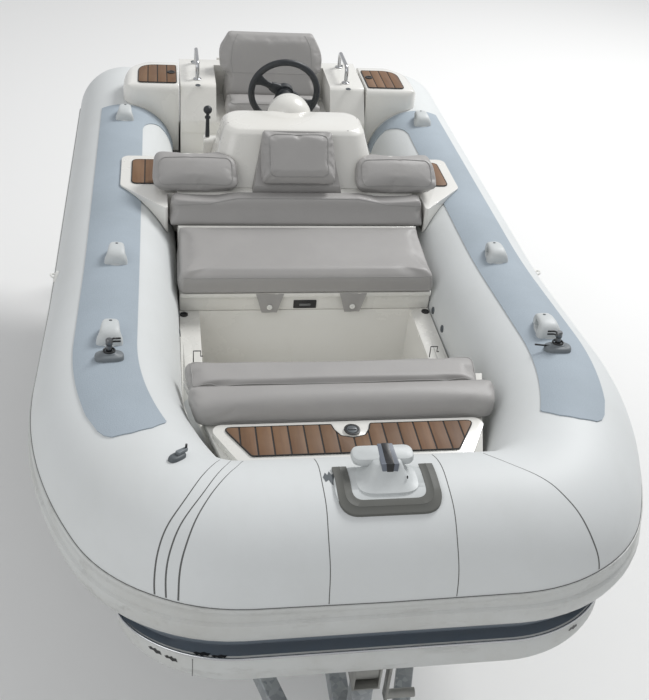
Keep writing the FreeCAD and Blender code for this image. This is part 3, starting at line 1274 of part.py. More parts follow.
def collarFittings():
    height = d.tube_radius + d.patch_thickness + 2 * d.seat_gap
    arch = grabHandle()
    handles = []
    for station in (d.collar_handle_fore, d.collar_handle_mid, d.collar_handle_aft):
        seated = onCollar(distanceAt(station), 1, d.handle_angle, height, arch)
        handles.append(largest(seated.cut(step_seat)))
    handles += [piece.mirror(vec(0, 0, 0), vec(1, 0, 0)) for piece in handles]
    node("grab_handles", feature("grab_handles", Part.makeCompound(handles)))
    lock = onCollar(distanceAt(d.rowlock_station), 1, 92, height, rowlock())
    lock = largest(lock.cut(step_seat))
    node("rowlocks", feature("rowlocks", Part.makeCompound([lock, lock.mirror(vec(0, 0, 0), vec(1, 0, 0))])))
    sunk = d.handle_rod
    disc = Part.makeCylinder(22, 10 + sunk, vec(0, 0, -sunk))
    ring = Part.makeTorus(13, 4, vec(0, 0, 14), vec(0, 1, 0))
    eye = onCollar(distanceAt(d.eye_station), 1, d.eye_angle, d.tube_radius, disc.fuse(ring))
    eye = largest(eye.cut(collar_seat))
    valve = Part.makeCylinder(d.valve_radius, 8 + sunk, vec(0, 0, -sunk))
    valve = valve.fuse(Part.makeCylinder(0.7 * d.valve_radius, 13))
    valve = onCollar(path_length - d.valve_from_bow, -1, 97, d.tube_radius, valve)
    small = [eye, eye.mirror(vec(0, 0, 0), vec(1, 0, 0)), largest(valve.cut(collar_seat))]
    node("tube_fittings", feature("tube_fittings", Part.makeCompound(small)))


def bowCleat():
    """A slotted mooring head on a neck, over a plate that follows the tube."""
    crown = collarFrame(path_length)[0].z + d.tube_radius
    half = d.cleat_plate_width / 2
    aft = d.cleat_station
    skin = collarShape(d.tube_radius + d.cleat_plate_thickness)
    plate = slab(boxOutline(-half, half, aft - d.cleat_plate_length, aft, 0.25 * d.cleat_plate_width), 
                 d.tube_radius + 2 * d.cleat_plate_thickness)
    plate.translate(vec(0, 0, crown - d.tube_radius))
    plate = plate.common(skin)
    foot_half = d.cleat_neck_width / 2
    top = crown + d.cleat_head_rise
    neck = slab(boxOutline(-foot_half, foot_half, aft - d.cleat_neck_length, aft, 0.2 * d.cleat_neck_width),
                d.cleat_head_rise + d.cleat_neck_length)
    neck.translate(vec(0, 0, crown - d.cleat_neck_length))
    head_half = d.cleat_head_width / 2
    head = slab(boxOutline(-head_half, head_half, aft - 0.5 * d.cleat_head_length,
                           aft + 0.5 * d.cleat_head_length, 0.4 * d.cleat_head_length), d.cleat_head_depth)
    head.translate(vec(0, 0, top - d.cleat_head_depth))
    slot = Part.makeBox(d.cleat_slot, 2 * d.cleat_head_length, 2 * d.cleat_head_depth,
                        vec(-d.cleat_slot / 2, aft - 0.1 * d.cleat_head_length, top - 1.5 * d.cleat_head_depth))
    body = plate.multiFuse([neck, head]).cut(slot)
    body = body.cut(collar_seat).removeSplitter()
    node("bow_cleat", feature("bow_cleat", largest(body)))


def trailerFrame():
    low = d.frame_top - d.beam_depth
    w = d.beam_width
    size = vec(0, 0, d.beam_depth)
    parts = []
    nose = d.coupling_station + d.coupling_length - 40
    parts.append(Part.makeBox(w, d.frame_corner + 60 - nose, d.beam_depth, vec(-w / 2, nose, low)))
    for side in (1, -1):
        x = side * d.frame_half_width
        parts.append(Part.makeBox(w, d.frame_aft - d.frame_corner, d.beam_depth,
                                  vec(x - w / 2, d.frame_corner, low)))
        end = side * w / 2
        outline = [vec(x - side * w / 2, d.frame_corner, low), vec(x + side * w / 2, d.frame_corner, low),
                   vec(end + side * w / 2, d.frame_nose, low), vec(end - side * w / 2, d.frame_nose, low)]
        parts.append(Part.Face(Part.makePolygon(outline + outline[:1])).extrude(size))
    for side in (1, -1):
        parts.append(Part.makeBox(30, d.board_station - d.seat_gap - d.frame_aft, 30,
                                  vec(side * 300 - 15, d.frame_aft, d.frame_top - 45)))
    across = 2 * d.frame_half_width + w
    for station in (d.frame_corner, d.axle_station - 40, d.frame_aft - w):
        parts.append(Part.makeBox(across, w, d.beam_depth, vec(-across / 2, station, low)))
    frame = parts[0].multiFuse(parts[1:]).removeSplitter()
    node("trailer_frame", feature("trailer_frame", frame))


def trailerAxle():
    top = d.frame_top - d.beam_depth - d.seat_gap
    square = 50
    inner = d.track_half - d.tyre_width / 2 - 22
    y = d.axle_station - 90
    beam = Part.makeBox(2 * inner, square, square, vec(-inner, y - square / 2, top - square))
    parts = [beam]
    wheel_centre = d.tyre_radius
    for side in (1, -1):
        x = side * (inner - 12)
        arm = [vec(x - 12, y - 25, top - square), vec(x - 12, y - 25, top), vec(x - 12, y + 20, top),
               vec(x - 12, d.axle_station + 24, wheel_centre + 24),
               vec(x - 12, d.axle_station + 24, wheel_centre - 24),
               vec(x - 12, d.axle_station - 24, wheel_centre - 24)]
        arm_solid = Part.Face(Part.makePolygon(arm + arm[:1])).extrude(vec(24, 0, 0))
        parts.append(arm_solid)
        reach = d.track_half + 20 - (inner - 24)
        start = side * (inner - 24)
        parts.append(Part.makeCylinder(15.7, reach, vec(start, d.axle_station, wheel_centre), vec(side, 0, 0)))
    node("trailer_axle", feature("trailer_axle", parts[0].multiFuse(parts[1:]).removeSplitter()))


def revolveAcross(points, centre):
    """Turns a closed (across, radius) outline about a line along X."""
    ring = Part.Face(Part.makePolygon([vec(x, 0, r) for x, r in points + points[:1]]))
    solid = ring.revolve(vec(0, 0, 0), vec(1, 0, 0), 360)
    solid.translate(centre)
    return solid


def roadWheels():
    half = d.tyre_width / 2
    r = d.tyre_radius
    bead = d.rim_radius
    tyre_outline = [(-half + 14, bead), (-half, r - 66), (-half + 6, r - 22), (-half + 22, r - 3),
                    (0, r), (half - 22, r - 3), (half - 6, r - 22), (half, r - 66), (half - 14, bead),
                    (half - 26, bead), (-half + 26, bead)]
    rim_r = bead - d.seat_gap
    rim_outline = [(-half + 10, rim_r), (-half + 10, rim_r - 10), (-half + 30, rim_r - 22),
                   (12, rim_r - 26), (12, 62), (20, 50), (20, 16), (36, 16), (36, 58),
                   (26, 70), (26, rim_r - 26), (half - 30, rim_r - 22), (half - 10, rim_r - 10),
                   (half - 10, rim_r)]
    for side, word in ((1, "left"), (-1, "right")):
        centre = vec(side * d.track_half, d.axle_station, r)
        tyre = revolveAcross([(side * x, rad) for x, rad in tyre_outline], centre)
        rim = revolveAcross([(side * x, rad) for x, rad in rim_outline], centre)
        holes = []
        for k in range(4):
            turn = math.radians(45 + 90 * k)
            holes.append(Part.makeCylinder(6, 60, centre + vec(side * 5, 50 * 0.92 * math.cos(turn),
                                                               50 * 0.92 * math.sin(turn)),
                                           vec(side, 0, 0)))
        node("tyre_" + word, feature("tyre_" + word, tyre))
        node("rim_" + word, feature("rim_" + word, rim.cut(Part.makeCompound(holes))))


def mudguards():
    r = d.tyre_radius + d.mudguard_gap
    thick = 4
    centre = vec(0, d.axle_station, d.tyre_radius)
    half = d.mudguard_width / 2
    ring = Part.makeCylinder(r + thick, 2 * half, vec(-half, 0, 0), vec(1, 0, 0))
    ring = ring.cut(Part.makeCylinder(r, 2 * half + 2, vec(-half - 1, 0, 0), vec(1, 0, 0)))
    ring = ring.common(Part.makeBox(600, 700, 500, vec(-300, -350, 40)))
    ring.translate(centre + vec(d.track_half, 0, 0))
    reach = d.track_half - half + 4 - (d.frame_half_width + d.beam_width / 2 + d.seat_gap)
    parts = [ring]
    for offset in (-1, 1):
        y = d.axle_station + offset * 272 - 15
        parts.append(Part.makeBox(reach, 30, 8, vec(d.frame_half_width + d.beam_width / 2 + d.seat_gap,
                                                    y, d.frame_top - 46)))
    guard = parts[0].multiFuse(parts[1:]).removeSplitter()
    node("mudguards", pair("mudguards", feature("mudguard_port", guard)))


def hullSupports():
    # the bottom's slope between keel and chine
    slope = hullSlope()
    x = d.bunk_offset
    under = rise(-d.keel_drop) + x * math.tan(slope)
    half = d.bunk_width / 2
    length = d.bunk_aft - d.bunk_front
    board = Part.makeBox(d.bunk_width, length, d.bunk_depth, vec(-half, 0, -d.bunk_depth - 0.6))
    board.rotate(vec(0, 0, 0), vec(0, 1, 0), -math.degrees(slope))
    board.translate(vec(x, d.bunk_front, under))
    parts = [board]
    for station in (d.frame_corner + 10, d.axle_station - 30, d.frame_aft - d.beam_width + 10):
        station = max(station, d.bunk_front + 10)
        station = min(station, d.bunk_aft - 50)
        post = Part.makeBox(30, 30, under - d.frame_top - 24, vec(x - 15, station, d.frame_top + d.seat_gap))
        parts.append(post)
    bunk = parts[0].multiFuse(parts[1:]).removeSplitter()
    node("bunks", pair("bunks", feature("bunk_port", bunk)))
    roller_r = 32
    y = d.frame_corner + 25
    centre = keelAt(y) - roller_r - 1
    roller = Part.makeCylinder(roller_r, 120, vec(-60, y, centre), vec(1, 0, 0))
    for side in (1, -1):
        roller = roller.fuse(Part.makeBox(6, 40, centre + 14 - d.frame_top,
                                          vec(side * 64 - 3, y - 20, d.frame_top + d.seat_gap)))
    pin = Part.makeCylinder(8, 140, vec(-70, y, centre), vec(1, 0, 0))
    node("keel_roller", feature("keel_roller", roller.fuse(pin).removeSplitter()))


def keelAt(station):
    rows = [(place, half[0][1]) for place, half in hullSections()]
    for later, earlier in zip(rows, rows[1:]):
        if station >= earlier[0]:
            part = (station - earlier[0]) / (later[0] - earlier[0])
            return earlier[1] + part * (later[1] - earlier[1])
    return rows[-1][1]


def winchGear():
    y = d.post_station
    low = d.frame_top + d.seat_gap
    foot = Part.makeBox(90, 130, 8, vec(-45, y - 65, low))
    post = Part.makeBox(50, 50, d.post_top - low, vec(-25, y - 25, low))
    stay = Part.makeBox(50, 190, 12, vec(-25, y - 10, d.post_top - 12))
    node("winch_post", feature("winch_post", foot.multiFuse([post, stay]).removeSplitter()))
    z = d.post_top + 46
    cheeks = [Part.makeBox(5, 84, 92, vec(x - 2.5, y - 40, d.post_top + d.seat_gap)) for x in (-32, 32)]
    base = Part.makeBox(70, 84, 5, vec(-35, y - 40, d.post_top + d.seat_gap))
    drum = Part.makeCylinder(34, 64, vec(-32, y, z), vec(1, 0, 0))
    axle = Part.makeCylinder(9, 110, vec(-40, y, z), vec(1, 0, 0))
    crank = Part.makeBox(8, 24, 150, vec(62, y - 12, z - 140))
    grip = Part.makeCylinder(12, 80, vec(62, y, z - 128), vec(1, 0, 0))
    winch = cheeks[0].multiFuse([cheeks[1], base, drum, axle, crank, grip]).removeSplitter()
    node("winch", feature("winch", winch))


def couplingHead():
    y = d.coupling_station
    low = d.frame_top - d.beam_depth
    body = Part.makeCylinder(42, 74, vec(0, y, low - 20))
    body = body.fuse(Part.makeBox(64, d.coupling_length - 40 - d.seat_gap, 52, vec(-32, y, low - 2)))
    socket = Part.makeCylinder(d.ball_radius, 48, vec(0, y, low - 20))
    lever = Part.makeBox(22, 130, 16, vec(-11, y - 10, low + 60))
    body = body.fuse(lever).cut(socket).removeSplitter()
    node("coupling", feature("coupling", largest(body)))


def jockeyStand():
    x = d.jockey_offset
    y = d.jockey_station
    r = d.jockey_tube
    wheel_r = d.jockey_radius
    outer_low = d.sleeve_low
    outer_top = d.sleeve_top
    sleeve = Part.makeCylinder(r, outer_top - outer_low, vec(x, y, outer_low))
    bore = Part.makeCylinder(r - 4, outer_top - outer_low - 8, vec(x, y, outer_low - 4))
    frame_side = d.beam_width / 2 + d.seat_gap
    clamp = Part.makeBox(x - frame_side, 50, 40, vec(frame_side, y - 25, outer_low))
    crank = bentRod([(x, y, outer_top - 4), (x, y, outer_top + 40), (x, y + 110, outer_top + 40),
                     (x, y + 110, outer_top + 100)], 12, 6)
    outer = sleeve.multiFuse([clamp, crank]).cut(bore).removeSplitter()
    node("jockey_sleeve", feature("jockey_sleeve", largest(outer)))
    leg_low = 2 * wheel_r + 40
    leg = Part.makeCylinder(r - 5, outer_top - d.jockey_travel - 40 - leg_low, vec(x, y, leg_low))
    collar = Part.makeCylinder(r + 3, 14, vec(x, y, leg_low))
    node("jockey_leg", feature("jockey_leg", leg.fuse(collar).removeSplitter()))
    centre_y = y + d.jockey_trail
    half = d.jockey_width / 2
    fork_top = leg_low - d.seat_gap
    plate = Part.makeBox(2 * half + 24, 84, 8, vec(x - half - 12, y - 26, fork_top - 8))
    parts = [plate]
    for side in (1, -1):
        cheek = [vec(0, y - 24, fork_top - 4), vec(0, y + 58, fork_top - 4),
                 vec(0, centre_y + 18, wheel_r - 16), vec(0, centre_y - 18, wheel_r - 16)]
        solid = Part.Face(Part.makePolygon(cheek + cheek[:1])).extrude(vec(6, 0, 0))
        solid.translate(vec(x + side * (half + 9) - 3, 0, 0))
        parts.append(solid)
    pin = Part.makeCylinder(7, 2 * half + 24, vec(x - half - 12, centre_y, wheel_r), vec(1, 0, 0))
    node("jockey_fork", feature("jockey_fork", parts[0].multiFuse(parts[1:] + [pin]).removeSplitter()))
    tread = [(-half, wheel_r - 20), (-half + 8, wheel_r), (half - 8, wheel_r), (half, wheel_r - 20),
             (half, wheel_r - 48), (half - 12, wheel_r - 52), (half - 12, 24), (half, 20), (half, 7.5),
             (-half, 7.5), (-half, 20), (-half + 12, 24), (-half + 12, wheel_r - 52), (-half, wheel_r - 48)]
    node("jockey_wheel", feature("jockey_wheel", revolveAcross(tread, vec(x, centre_y, wheel_r))))


def lampBoard():
    y = d.board_station
    low = d.frame_top - 90
    board = Part.makeBox(2 * d.board_half_width, 18, d.board_height, vec(-d.board_half_width, y, low))
    node("lamp_board", feature("lamp_board", board))
    lamps = []
    for side in (1, -1):
        x = side * (d.board_half_width - 120)
        lamps.append(Part.makeBox(d.lamp_width, 38, d.lamp_height,
                                  vec(x - d.lamp_width / 2, y + 18 + d.seat_gap, low + 15)))
    node("lamps", feature("lamps", Part.makeCompound(lamps)))


tubeCollar()
tubePatches()
rubStrakes()
hullShell()
deckLiner()
bowStep()
bowLocker()
bowSeat()
frontBench()
midThwart()
console()
steeringWheel()
throttleLever()
consolePads()
engineBay()
engineHatch()
helmSeat()
hatchHandles()
aftPods()
jetDrive()
collarFittings()
bowCleat()
trailerFrame()
trailerAxle()
roadWheels()
mudguards()
hullSupports()
winchGear()
couplingHead()
jockeyStand()
lampBoard()
doc.recompute()

# The origin is on the ground below the middle of the whole outline
front_end = d.coupling_station - 42
aft_end = d.collar_end_station
middle = (front_end + aft_end) / 2

os.makedirs("parts", exist_ok=True)
for item in doc.Objects:
    if "Invalid" in item.State or "Error" in item.State:
        raise RuntimeError("%s failed to build" % item.Label)
for name, piece in nodes.items():
    shape = piece.Shape
    if shape.isNull() or not shape.isValid() or not shape.Solids:
        raise RuntimeError("%s has no valid shape" % name)
    moved = shape.copy()
    moved.translate(vec(0, -middle, 0))
    moved.exportStep("parts/%s.step" % name)
print("%d nodes, middle station %.1f" % (len(nodes), middle))
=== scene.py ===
import json
import math
import bmesh
import bpy
import numpy as np
from mathutils import Matrix, Vector
from mathutils.bvhtree import BVHTree

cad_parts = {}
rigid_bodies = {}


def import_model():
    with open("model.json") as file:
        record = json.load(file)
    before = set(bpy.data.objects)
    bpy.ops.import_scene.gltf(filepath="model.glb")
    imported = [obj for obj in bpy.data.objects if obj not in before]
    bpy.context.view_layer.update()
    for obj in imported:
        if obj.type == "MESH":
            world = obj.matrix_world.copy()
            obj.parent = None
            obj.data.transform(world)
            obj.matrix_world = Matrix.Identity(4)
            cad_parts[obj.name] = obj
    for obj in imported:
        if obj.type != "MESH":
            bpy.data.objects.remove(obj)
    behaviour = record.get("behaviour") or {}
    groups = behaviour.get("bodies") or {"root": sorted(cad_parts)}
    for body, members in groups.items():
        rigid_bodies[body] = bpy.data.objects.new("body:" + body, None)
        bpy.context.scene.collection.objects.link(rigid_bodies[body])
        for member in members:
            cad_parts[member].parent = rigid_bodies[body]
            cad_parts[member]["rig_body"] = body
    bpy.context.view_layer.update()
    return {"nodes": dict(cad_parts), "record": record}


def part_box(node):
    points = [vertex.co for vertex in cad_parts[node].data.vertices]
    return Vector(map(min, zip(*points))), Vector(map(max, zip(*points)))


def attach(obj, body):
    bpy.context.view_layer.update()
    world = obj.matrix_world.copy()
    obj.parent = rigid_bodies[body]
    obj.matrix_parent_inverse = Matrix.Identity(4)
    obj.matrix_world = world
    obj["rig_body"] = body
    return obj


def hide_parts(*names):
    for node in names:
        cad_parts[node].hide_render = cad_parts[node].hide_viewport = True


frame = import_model()
print("frame loaded")

# Places: x is to port, stations run aft from the bow, rises go up from the collar's axis amidships

tubeLow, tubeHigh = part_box("tube_collar")
collar = {
    "tube": 0.205,
    "strake": 0.012,
    "sheerStation": 1.35,
    "sheerTurn": math.radians(5.9),
    "sheerRadius": 3.0,
    "sweepRadius": 1.12,
    "sweepTurn": math.radians(28),
    "cornerRadius": 0.22,
    "ringSteps": 96,
    "domeRings": 16,
    "alongStep": 0.014,
}
bowY = tubeLow.y - collar["strake"]
axisZ = tubeLow.z + collar["tube"]
tubeOffset = tubeHigh.x - collar["tube"]


def at(offset, station, rise):
    return Vector((offset, bowY + station, axisZ + rise))


def rgb(red, green, blue):
    def linear(part):
        part = part / 255
        return part / 12.92 if part <= 0.04045 else ((part + 0.055) / 1.055) ** 2.4
    return (linear(red), linear(green), linear(blue), 1.0)


def darker(colour, share):
    return tuple(share * c for c in colour[:3]) + (1,)


# Shader maths as expressions


class Wire:
    def __init__(self, finish, socket):
        self.finish = finish
        self.socket = socket

    def maths(self, operation, *values):
        return self.finish.node("ShaderNodeMath", {"operation": operation}, dict(enumerate(values)))

    def __add__(self, other):
        return self.maths("ADD", self, other)

    def __mul__(self, other):
        return self.maths("MULTIPLY", self, other)

    def below(self, edge):
        return self.maths("LESS_THAN", self, edge)

    def size(self):
        return self.maths("ABSOLUTE", self)


class Finish:
    def __init__(self, name):
        self.material = bpy.data.materials.new(name)
        self.material.use_nodes = True
        self.tree = self.material.node_tree
        self.tree.nodes.clear()

    def node(self, kind, settings=None, values=None, output=0):
        made = self.tree.nodes.new(kind)
        for name, value in (settings or {}).items():
            if name == "stops":
                ramp = made.color_ramp.elements
                while len(ramp) < len(value):
                    ramp.new(0.5)
                for element, (position, colour) in zip(ramp, value):
                    element.position = position
                    element.color = colour
            else:
                setattr(made, name, value)
        for key, value in (values or {}).items():
            if isinstance(value, Wire):
                self.tree.links.new(value.socket, made.inputs[key])
            else:
                made.inputs[key].default_value = value
        return Wire(self, made.outputs[output])

    def place(self):
        return self.node("ShaderNodeTexCoord", output="Object")

    def stretched(self, scale):
        return self.node("ShaderNodeMapping", None, {"Vector": self.place(), "Scale": scale})

    def parts(self, vector):
        split = self.node("ShaderNodeSeparateXYZ", None, {0: vector})
        outputs = split.socket.node.outputs
        return [Wire(self, outputs[k]) for k in range(3)]

    def noise(self, scale, detail=3.0, roughness=0.5, vector=None):
        return self.node("ShaderNodeTexNoise", None,
                         {"Vector": vector or self.place(), "Scale": scale, "Detail": detail,
                          "Roughness": roughness})

    def ramp(self, factor, stops):
        grey = [(position, (value, value, value, 1)) for position, value in stops]
        return self.node("ShaderNodeValToRGB", {"stops": grey}, {0: factor})

    def mix(self, factor, first, second):
        return self.node("ShaderNodeMix", {"data_type": "RGBA"}, {0: factor, 6: first, 7: second}, output=2)

    def bump(self, height, distance, strength=1.0, normal=None):
        values = {"Height": height, "Distance": distance, "Strength": strength}
        if normal is not None:
            values["Normal"] = normal
        return self.node("ShaderNodeBump", None, values)

    def surface(self, values):
        shader = self.node("ShaderNodeBsdfPrincipled", None, values)
        out = self.tree.nodes.new("ShaderNodeOutputMaterial")
        self.tree.links.new(shader.socket, out.inputs["Surface"])
        return self.material


def gelcoat(name, colour, dirt, gloss=0.22):
    f = Finish(name)
    soil = f.ramp(f.noise(2.2, 6, 0.62), [(0.42, 0), (0.78, 1)])
    specks = f.ramp(f.noise(34, 4, 0.7), [(0.60, 0), (0.74, 1)])
    base = f.mix(soil * 0.22, colour, dirt)
    base = f.mix(specks * 0.10, base, dirt)
    normal = f.bump(f.noise(6, 2), 0.004, 0.25)
    return f.surface({"Base Color": base, "Roughness": soil * 0.16 + gloss, "Normal": normal,
                      "Coat Weight": 0.35, "Coat Roughness": 0.08})


def collarFabric(name, colour, dirt):
    f = Finish(name)
    soil = f.ramp(f.noise(1.7, 7, 0.6), [(0.40, 0), (0.80, 1)])
    streak = f.ramp(f.noise(9, 5, 0.65, f.stretched((1, 0.35, 1))), [(0.50, 0), (0.82, 1)])
    base = f.mix(soil * 0.28, colour, dirt)
    base = f.mix(streak * 0.14, base, dirt)
    grain = f.noise(620, 2, 0.5)
    slack = f.noise(5.5, 3, 0.5)
    normal = f.bump(grain, 0.00035, 0.35)
    normal = f.bump(slack, 0.0035, 0.30, normal)
    return f.surface({"Base Color": base, "Roughness": grain * 0.10 + 0.52, "Normal": normal})


def nonSkid(name):
    f = Finish(name)
    colour = rgb(160, 171, 180)
    dirt = rgb(132, 142, 148)
    soil = f.ramp(f.noise(3.2, 6, 0.6), [(0.40, 0), (0.75, 1)])
    grit = f.node("ShaderNodeTexVoronoi", None, {"Vector": f.place(), "Scale": 330.0}, output="Distance")
    base = f.mix(soil * 0.35, colour, dirt)
    base = f.mix(f.ramp(grit, [(0.1, 1), (0.5, 0)]) * 0.14, base, rgb(196, 206, 214))
    return f.surface({"Base Color": base, "Roughness": 0.72, "Normal": f.bump(grit, 0.0006, 0.7)})


def vinyl(name, colour):
    f = Finish(name)
    tone = f.noise(2.6, 4, 0.55)
    rub = f.ramp(f.noise(7, 5, 0.6), [(0.45, 0), (0.80, 1)])
    base = f.mix(f.ramp(tone, [(0.3, 0), (0.7, 1)]) * 0.5, colour, darker(colour, 0.90))
    base = f.mix(rub * 0.12, base, rgb(196, 194, 190))
    grain = f.node("ShaderNodeTexVoronoi", {"feature": "DISTANCE_TO_EDGE"},
                   {"Vector": f.place(), "Scale": 420.0}, output="Distance")
    creases = f.noise(18, 3, 0.5)
    normal = f.bump(f.ramp(grain, [(0.0, 0), (0.18, 1)]), 0.0004, 0.30)
    normal = f.bump(creases, 0.0016, 0.35, normal)
    return f.surface({"Base Color": base, "Roughness": rub * 0.12 + 0.40, "Normal": normal,
                      "Specular IOR Level": 0.42})


def teakBoard(name):
    f = Finish(name)
    fine = f.noise(55, 5, 0.6, f.stretched((1.0, 0.06, 1.0)))
    broad = f.noise(13, 4, 0.6, f.stretched((1.0, 0.10, 1.0)))
    worn = f.ramp(f.noise(5, 5, 0.65), [(0.40, 0), (0.75, 1)])
    base = f.mix(f.ramp(broad, [(0.32, 0), (0.68, 1)]), rgb(94, 67, 45), rgb(124, 91, 62))
    base = f.mix(f.ramp(fine, [(0.48, 0), (0.70, 1)]) * 0.5, base, rgb(92, 62, 44))
    base = f.mix(worn * 0.22, base, rgb(150, 130, 106))
    return f.surface({"Base Color": base, "Roughness": 0.62, "Normal": f.bump(fine, 0.0006, 0.5)})


def rubber(name, colour, rough=0.62, dust=0.25):
    f = Finish(name)
    soil = f.ramp(f.noise(14, 6, 0.65), [(0.42, 0), (0.78, 1)])
    base = f.mix(soil * dust, colour, (0.30, 0.29, 0.27, 1))
    return f.surface({"Base Color": base, "Roughness": soil * 0.15 + rough,
                      "Normal": f.bump(f.noise(260, 3), 0.0004, 0.4)})


def strakeRubber(name):
    f = Finish(name)
    soil = f.ramp(f.noise(4.5, 7, 0.68), [(0.38, 0), (0.80, 1)])
    scuff = f.ramp(f.noise(22, 6, 0.7, f.stretched((0.30, 1, 1))), [(0.55, 0), (0.72, 1)])
    base = f.mix(soil * 0.5, rgb(200, 202, 200), rgb(168, 165, 156))
    base = f.mix(scuff * 0.3, base, rgb(124, 122, 116))
    return f.surface({"Base Color": base, "Roughness": 0.5, "Normal": f.bump(scuff, 0.0006, 0.5)})


def metal(name, colour, rough, scratch=0.10):
    f = Finish(name)
    smear = f.ramp(f.noise(16, 6, 0.65), [(0.35, 0), (0.78, 1)])
    base = f.mix(smear * 0.35, colour, darker(colour, 0.72))
    return f.surface({"Base Color": base, "Metallic": 1.0, "Roughness": smear * scratch + rough,
                      "Normal": f.bump(f.noise(140, 3), 0.0002, 0.3)})


def zincCoat(name):
    f = Finish(name)
    flake = f.node("ShaderNodeTexVoronoi", {"feature": "F1"}, {"Vector": f.place(), "Scale": 62.0},
                   output="Color")
    tone = f.parts(flake)[0]
    soil = f.ramp(f.noise(6, 6, 0.65), [(0.42, 0), (0.75, 1)])
    base = f.mix(tone, rgb(142, 147, 150), rgb(176, 180, 182))
    base = f.mix(soil * 0.4, base, rgb(118, 112, 102))
    return f.surface({"Base Color": base, "Metallic": 0.75, "Roughness": tone * 0.18 + 0.38,
                      "Normal": f.bump(f.noise(90, 4), 0.0005, 0.4)})


def plastic(name, colour, rough=0.4):
    f = Finish(name)
    soil = f.ramp(f.noise(20, 6, 0.65), [(0.42, 0), (0.78, 1)])
    base = f.mix(soil * 0.15, colour, (0.16, 0.15, 0.13, 1))
    return f.surface({"Base Color": base, "Roughness": soil * 0.2 + rough,
                      "Normal": f.bump(f.noise(380, 2), 0.0002, 0.35)})


def carpet(name, colour):
    f = Finish(name)
    pile = f.noise(420, 3, 0.7)
    tone = f.noise(30, 4, 0.6)
    base = f.mix(f.ramp(tone, [(0.3, 0), (0.7, 1)]), colour, darker(colour, 0.6))
    return f.surface({"Base Color": base, "Roughness": 0.95, "Normal": f.bump(pile, 0.002, 0.9)})


def lampLens(name):
    f = Finish(name)
    inner = f.parts(f.place())[0].size().below(0.62)
    base = f.mix(inner, rgb(150, 16, 14), rgb(196, 92, 20))
    ribs = f.node("ShaderNodeTexWave", {"wave_type": "BANDS", "bands_direction": "X"},
                  {"Vector": f.place(), "Scale": 46.0})
    return f.surface({"Base Color": base, "Roughness": 0.15, "Normal": f.bump(ribs, 0.0008, 0.4),
                      "Coat Weight": 0.5})


finishes = {
    "collar": collarFabric("collarFabric", rgb(212, 215, 215), rgb(186, 187, 182)),
    "seam": plastic("seamDirt", rgb(96, 97, 96), 0.8),
    "black": plastic("blackPlastic", rgb(30, 31, 33), 0.35),
    "darkMetal": metal("darkMetal", rgb(120, 122, 124), 0.32),
    "greyDark": plastic("darkGreyBoss", rgb(84, 90, 94), 0.5),
    "studWhite": plastic("whiteStud", rgb(232, 232, 228), 0.3),
    "band": plastic("cleatBandRubber", rgb(92, 93, 89), 0.6),
    # dark blue-grey painted shade under the strake, on the band over the tube and the lip's top
    "recessShade": plastic("lipRecess", rgb(98, 108, 118), 0.5),
    "liner": plastic("cleatLiner", rgb(106, 112, 122), 0.45),
    "patch": nonSkid("nonSkidPatch"),
    "strake": strakeRubber("strakeRubber"),
    "hull": gelcoat("hullGelcoat", rgb(206, 208, 208), rgb(150, 148, 138), 0.3),
    "moulding": gelcoat("deckGelcoat", rgb(228, 227, 222), rgb(196, 188, 170)),
    "teak": teakBoard("teakBoard"),
    "caulk": rubber("blackCaulk", rgb(28, 26, 24), 0.7, 0.1),
    "vinyl": vinyl("seatVinyl", rgb(160, 158, 156)),
    "piping": vinyl("seatPiping", rgb(150, 149, 147)),
    "dark_grip": plastic("darkGrip", rgb(38, 42, 46), 0.42),
    "stainless": metal("polishedStainless", rgb(205, 206, 208), 0.12),
    "engine": plastic("engineBlock", rgb(58, 60, 64), 0.55),
    "jet_metal": metal("castAlloy", rgb(150, 152, 154), 0.42, 0.2),
    "fitting": plastic("paleFitting", rgb(198, 202, 202), 0.42),
    "grey_fitting": plastic("greyFitting", rgb(112, 118, 122), 0.45),
    "galvanised": zincCoat("zincCoat"),
    "rim_paint": plastic("rimPaint", rgb(196, 198, 196), 0.35),
    "tyre_rubber": rubber("tyreRubber", rgb(34, 34, 34), 0.75),
    "bunk_carpet": carpet("bunkCarpet", rgb(66, 70, 76)),
    "roller_rubber": rubber("rollerRubber", rgb(40, 44, 62), 0.6),
    "winch_metal": metal("winchMetal", rgb(160, 160, 156), 0.4, 0.25),
    "board": plastic("boardPaint", rgb(190, 190, 186), 0.4),
    "lamp": lampLens("lampLens"),
}
print("finishes made:", len(finishes))


# Mesh helpers


def piece(name, points, faces, finish, angle=35):
    mesh = bpy.data.meshes.new(name)
    mesh.from_pydata([tuple(p) for p in points], [], [tuple(f) for f in faces])
    mesh.materials.append(finishes[finish])
    thing = added(name, mesh)
    soften(thing, angle)
    return thing


def added(name, data):
    thing = bpy.data.objects.new(name, data)
    bpy.context.scene.collection.objects.link(thing)
    return thing


def soften(thing, angle=35):
    mesh = thing.data
    mesh.polygons.foreach_set("use_smooth", [True] * len(mesh.polygons))
    mesh.set_sharp_from_angle(angle=math.radians(angle))
    mesh.update()


def outward(thing):
    made = bmesh.new()
    made.from_mesh(thing.data)
    bmesh.ops.remove_doubles(made, verts=made.verts, dist=1e-6)
    bmesh.ops.recalc_face_normals(made, faces=made.faces)
    made.to_mesh(thing.data)
    made.free()
    return thing


def applied(thing, angle=35):
    # the evaluated result becomes the piece's own mesh
    graph = bpy.context.evaluated_depsgraph_get()
    mesh = bpy.data.meshes.new_from_object(thing.evaluated_get(graph))
    name = thing.name
    world = thing.matrix_world.copy()
    bpy.data.objects.remove(thing)
    mesh.transform(world)
    mesh.name = name
    made = added(name, mesh)
    if angle:
        soften(made, angle)
    return made


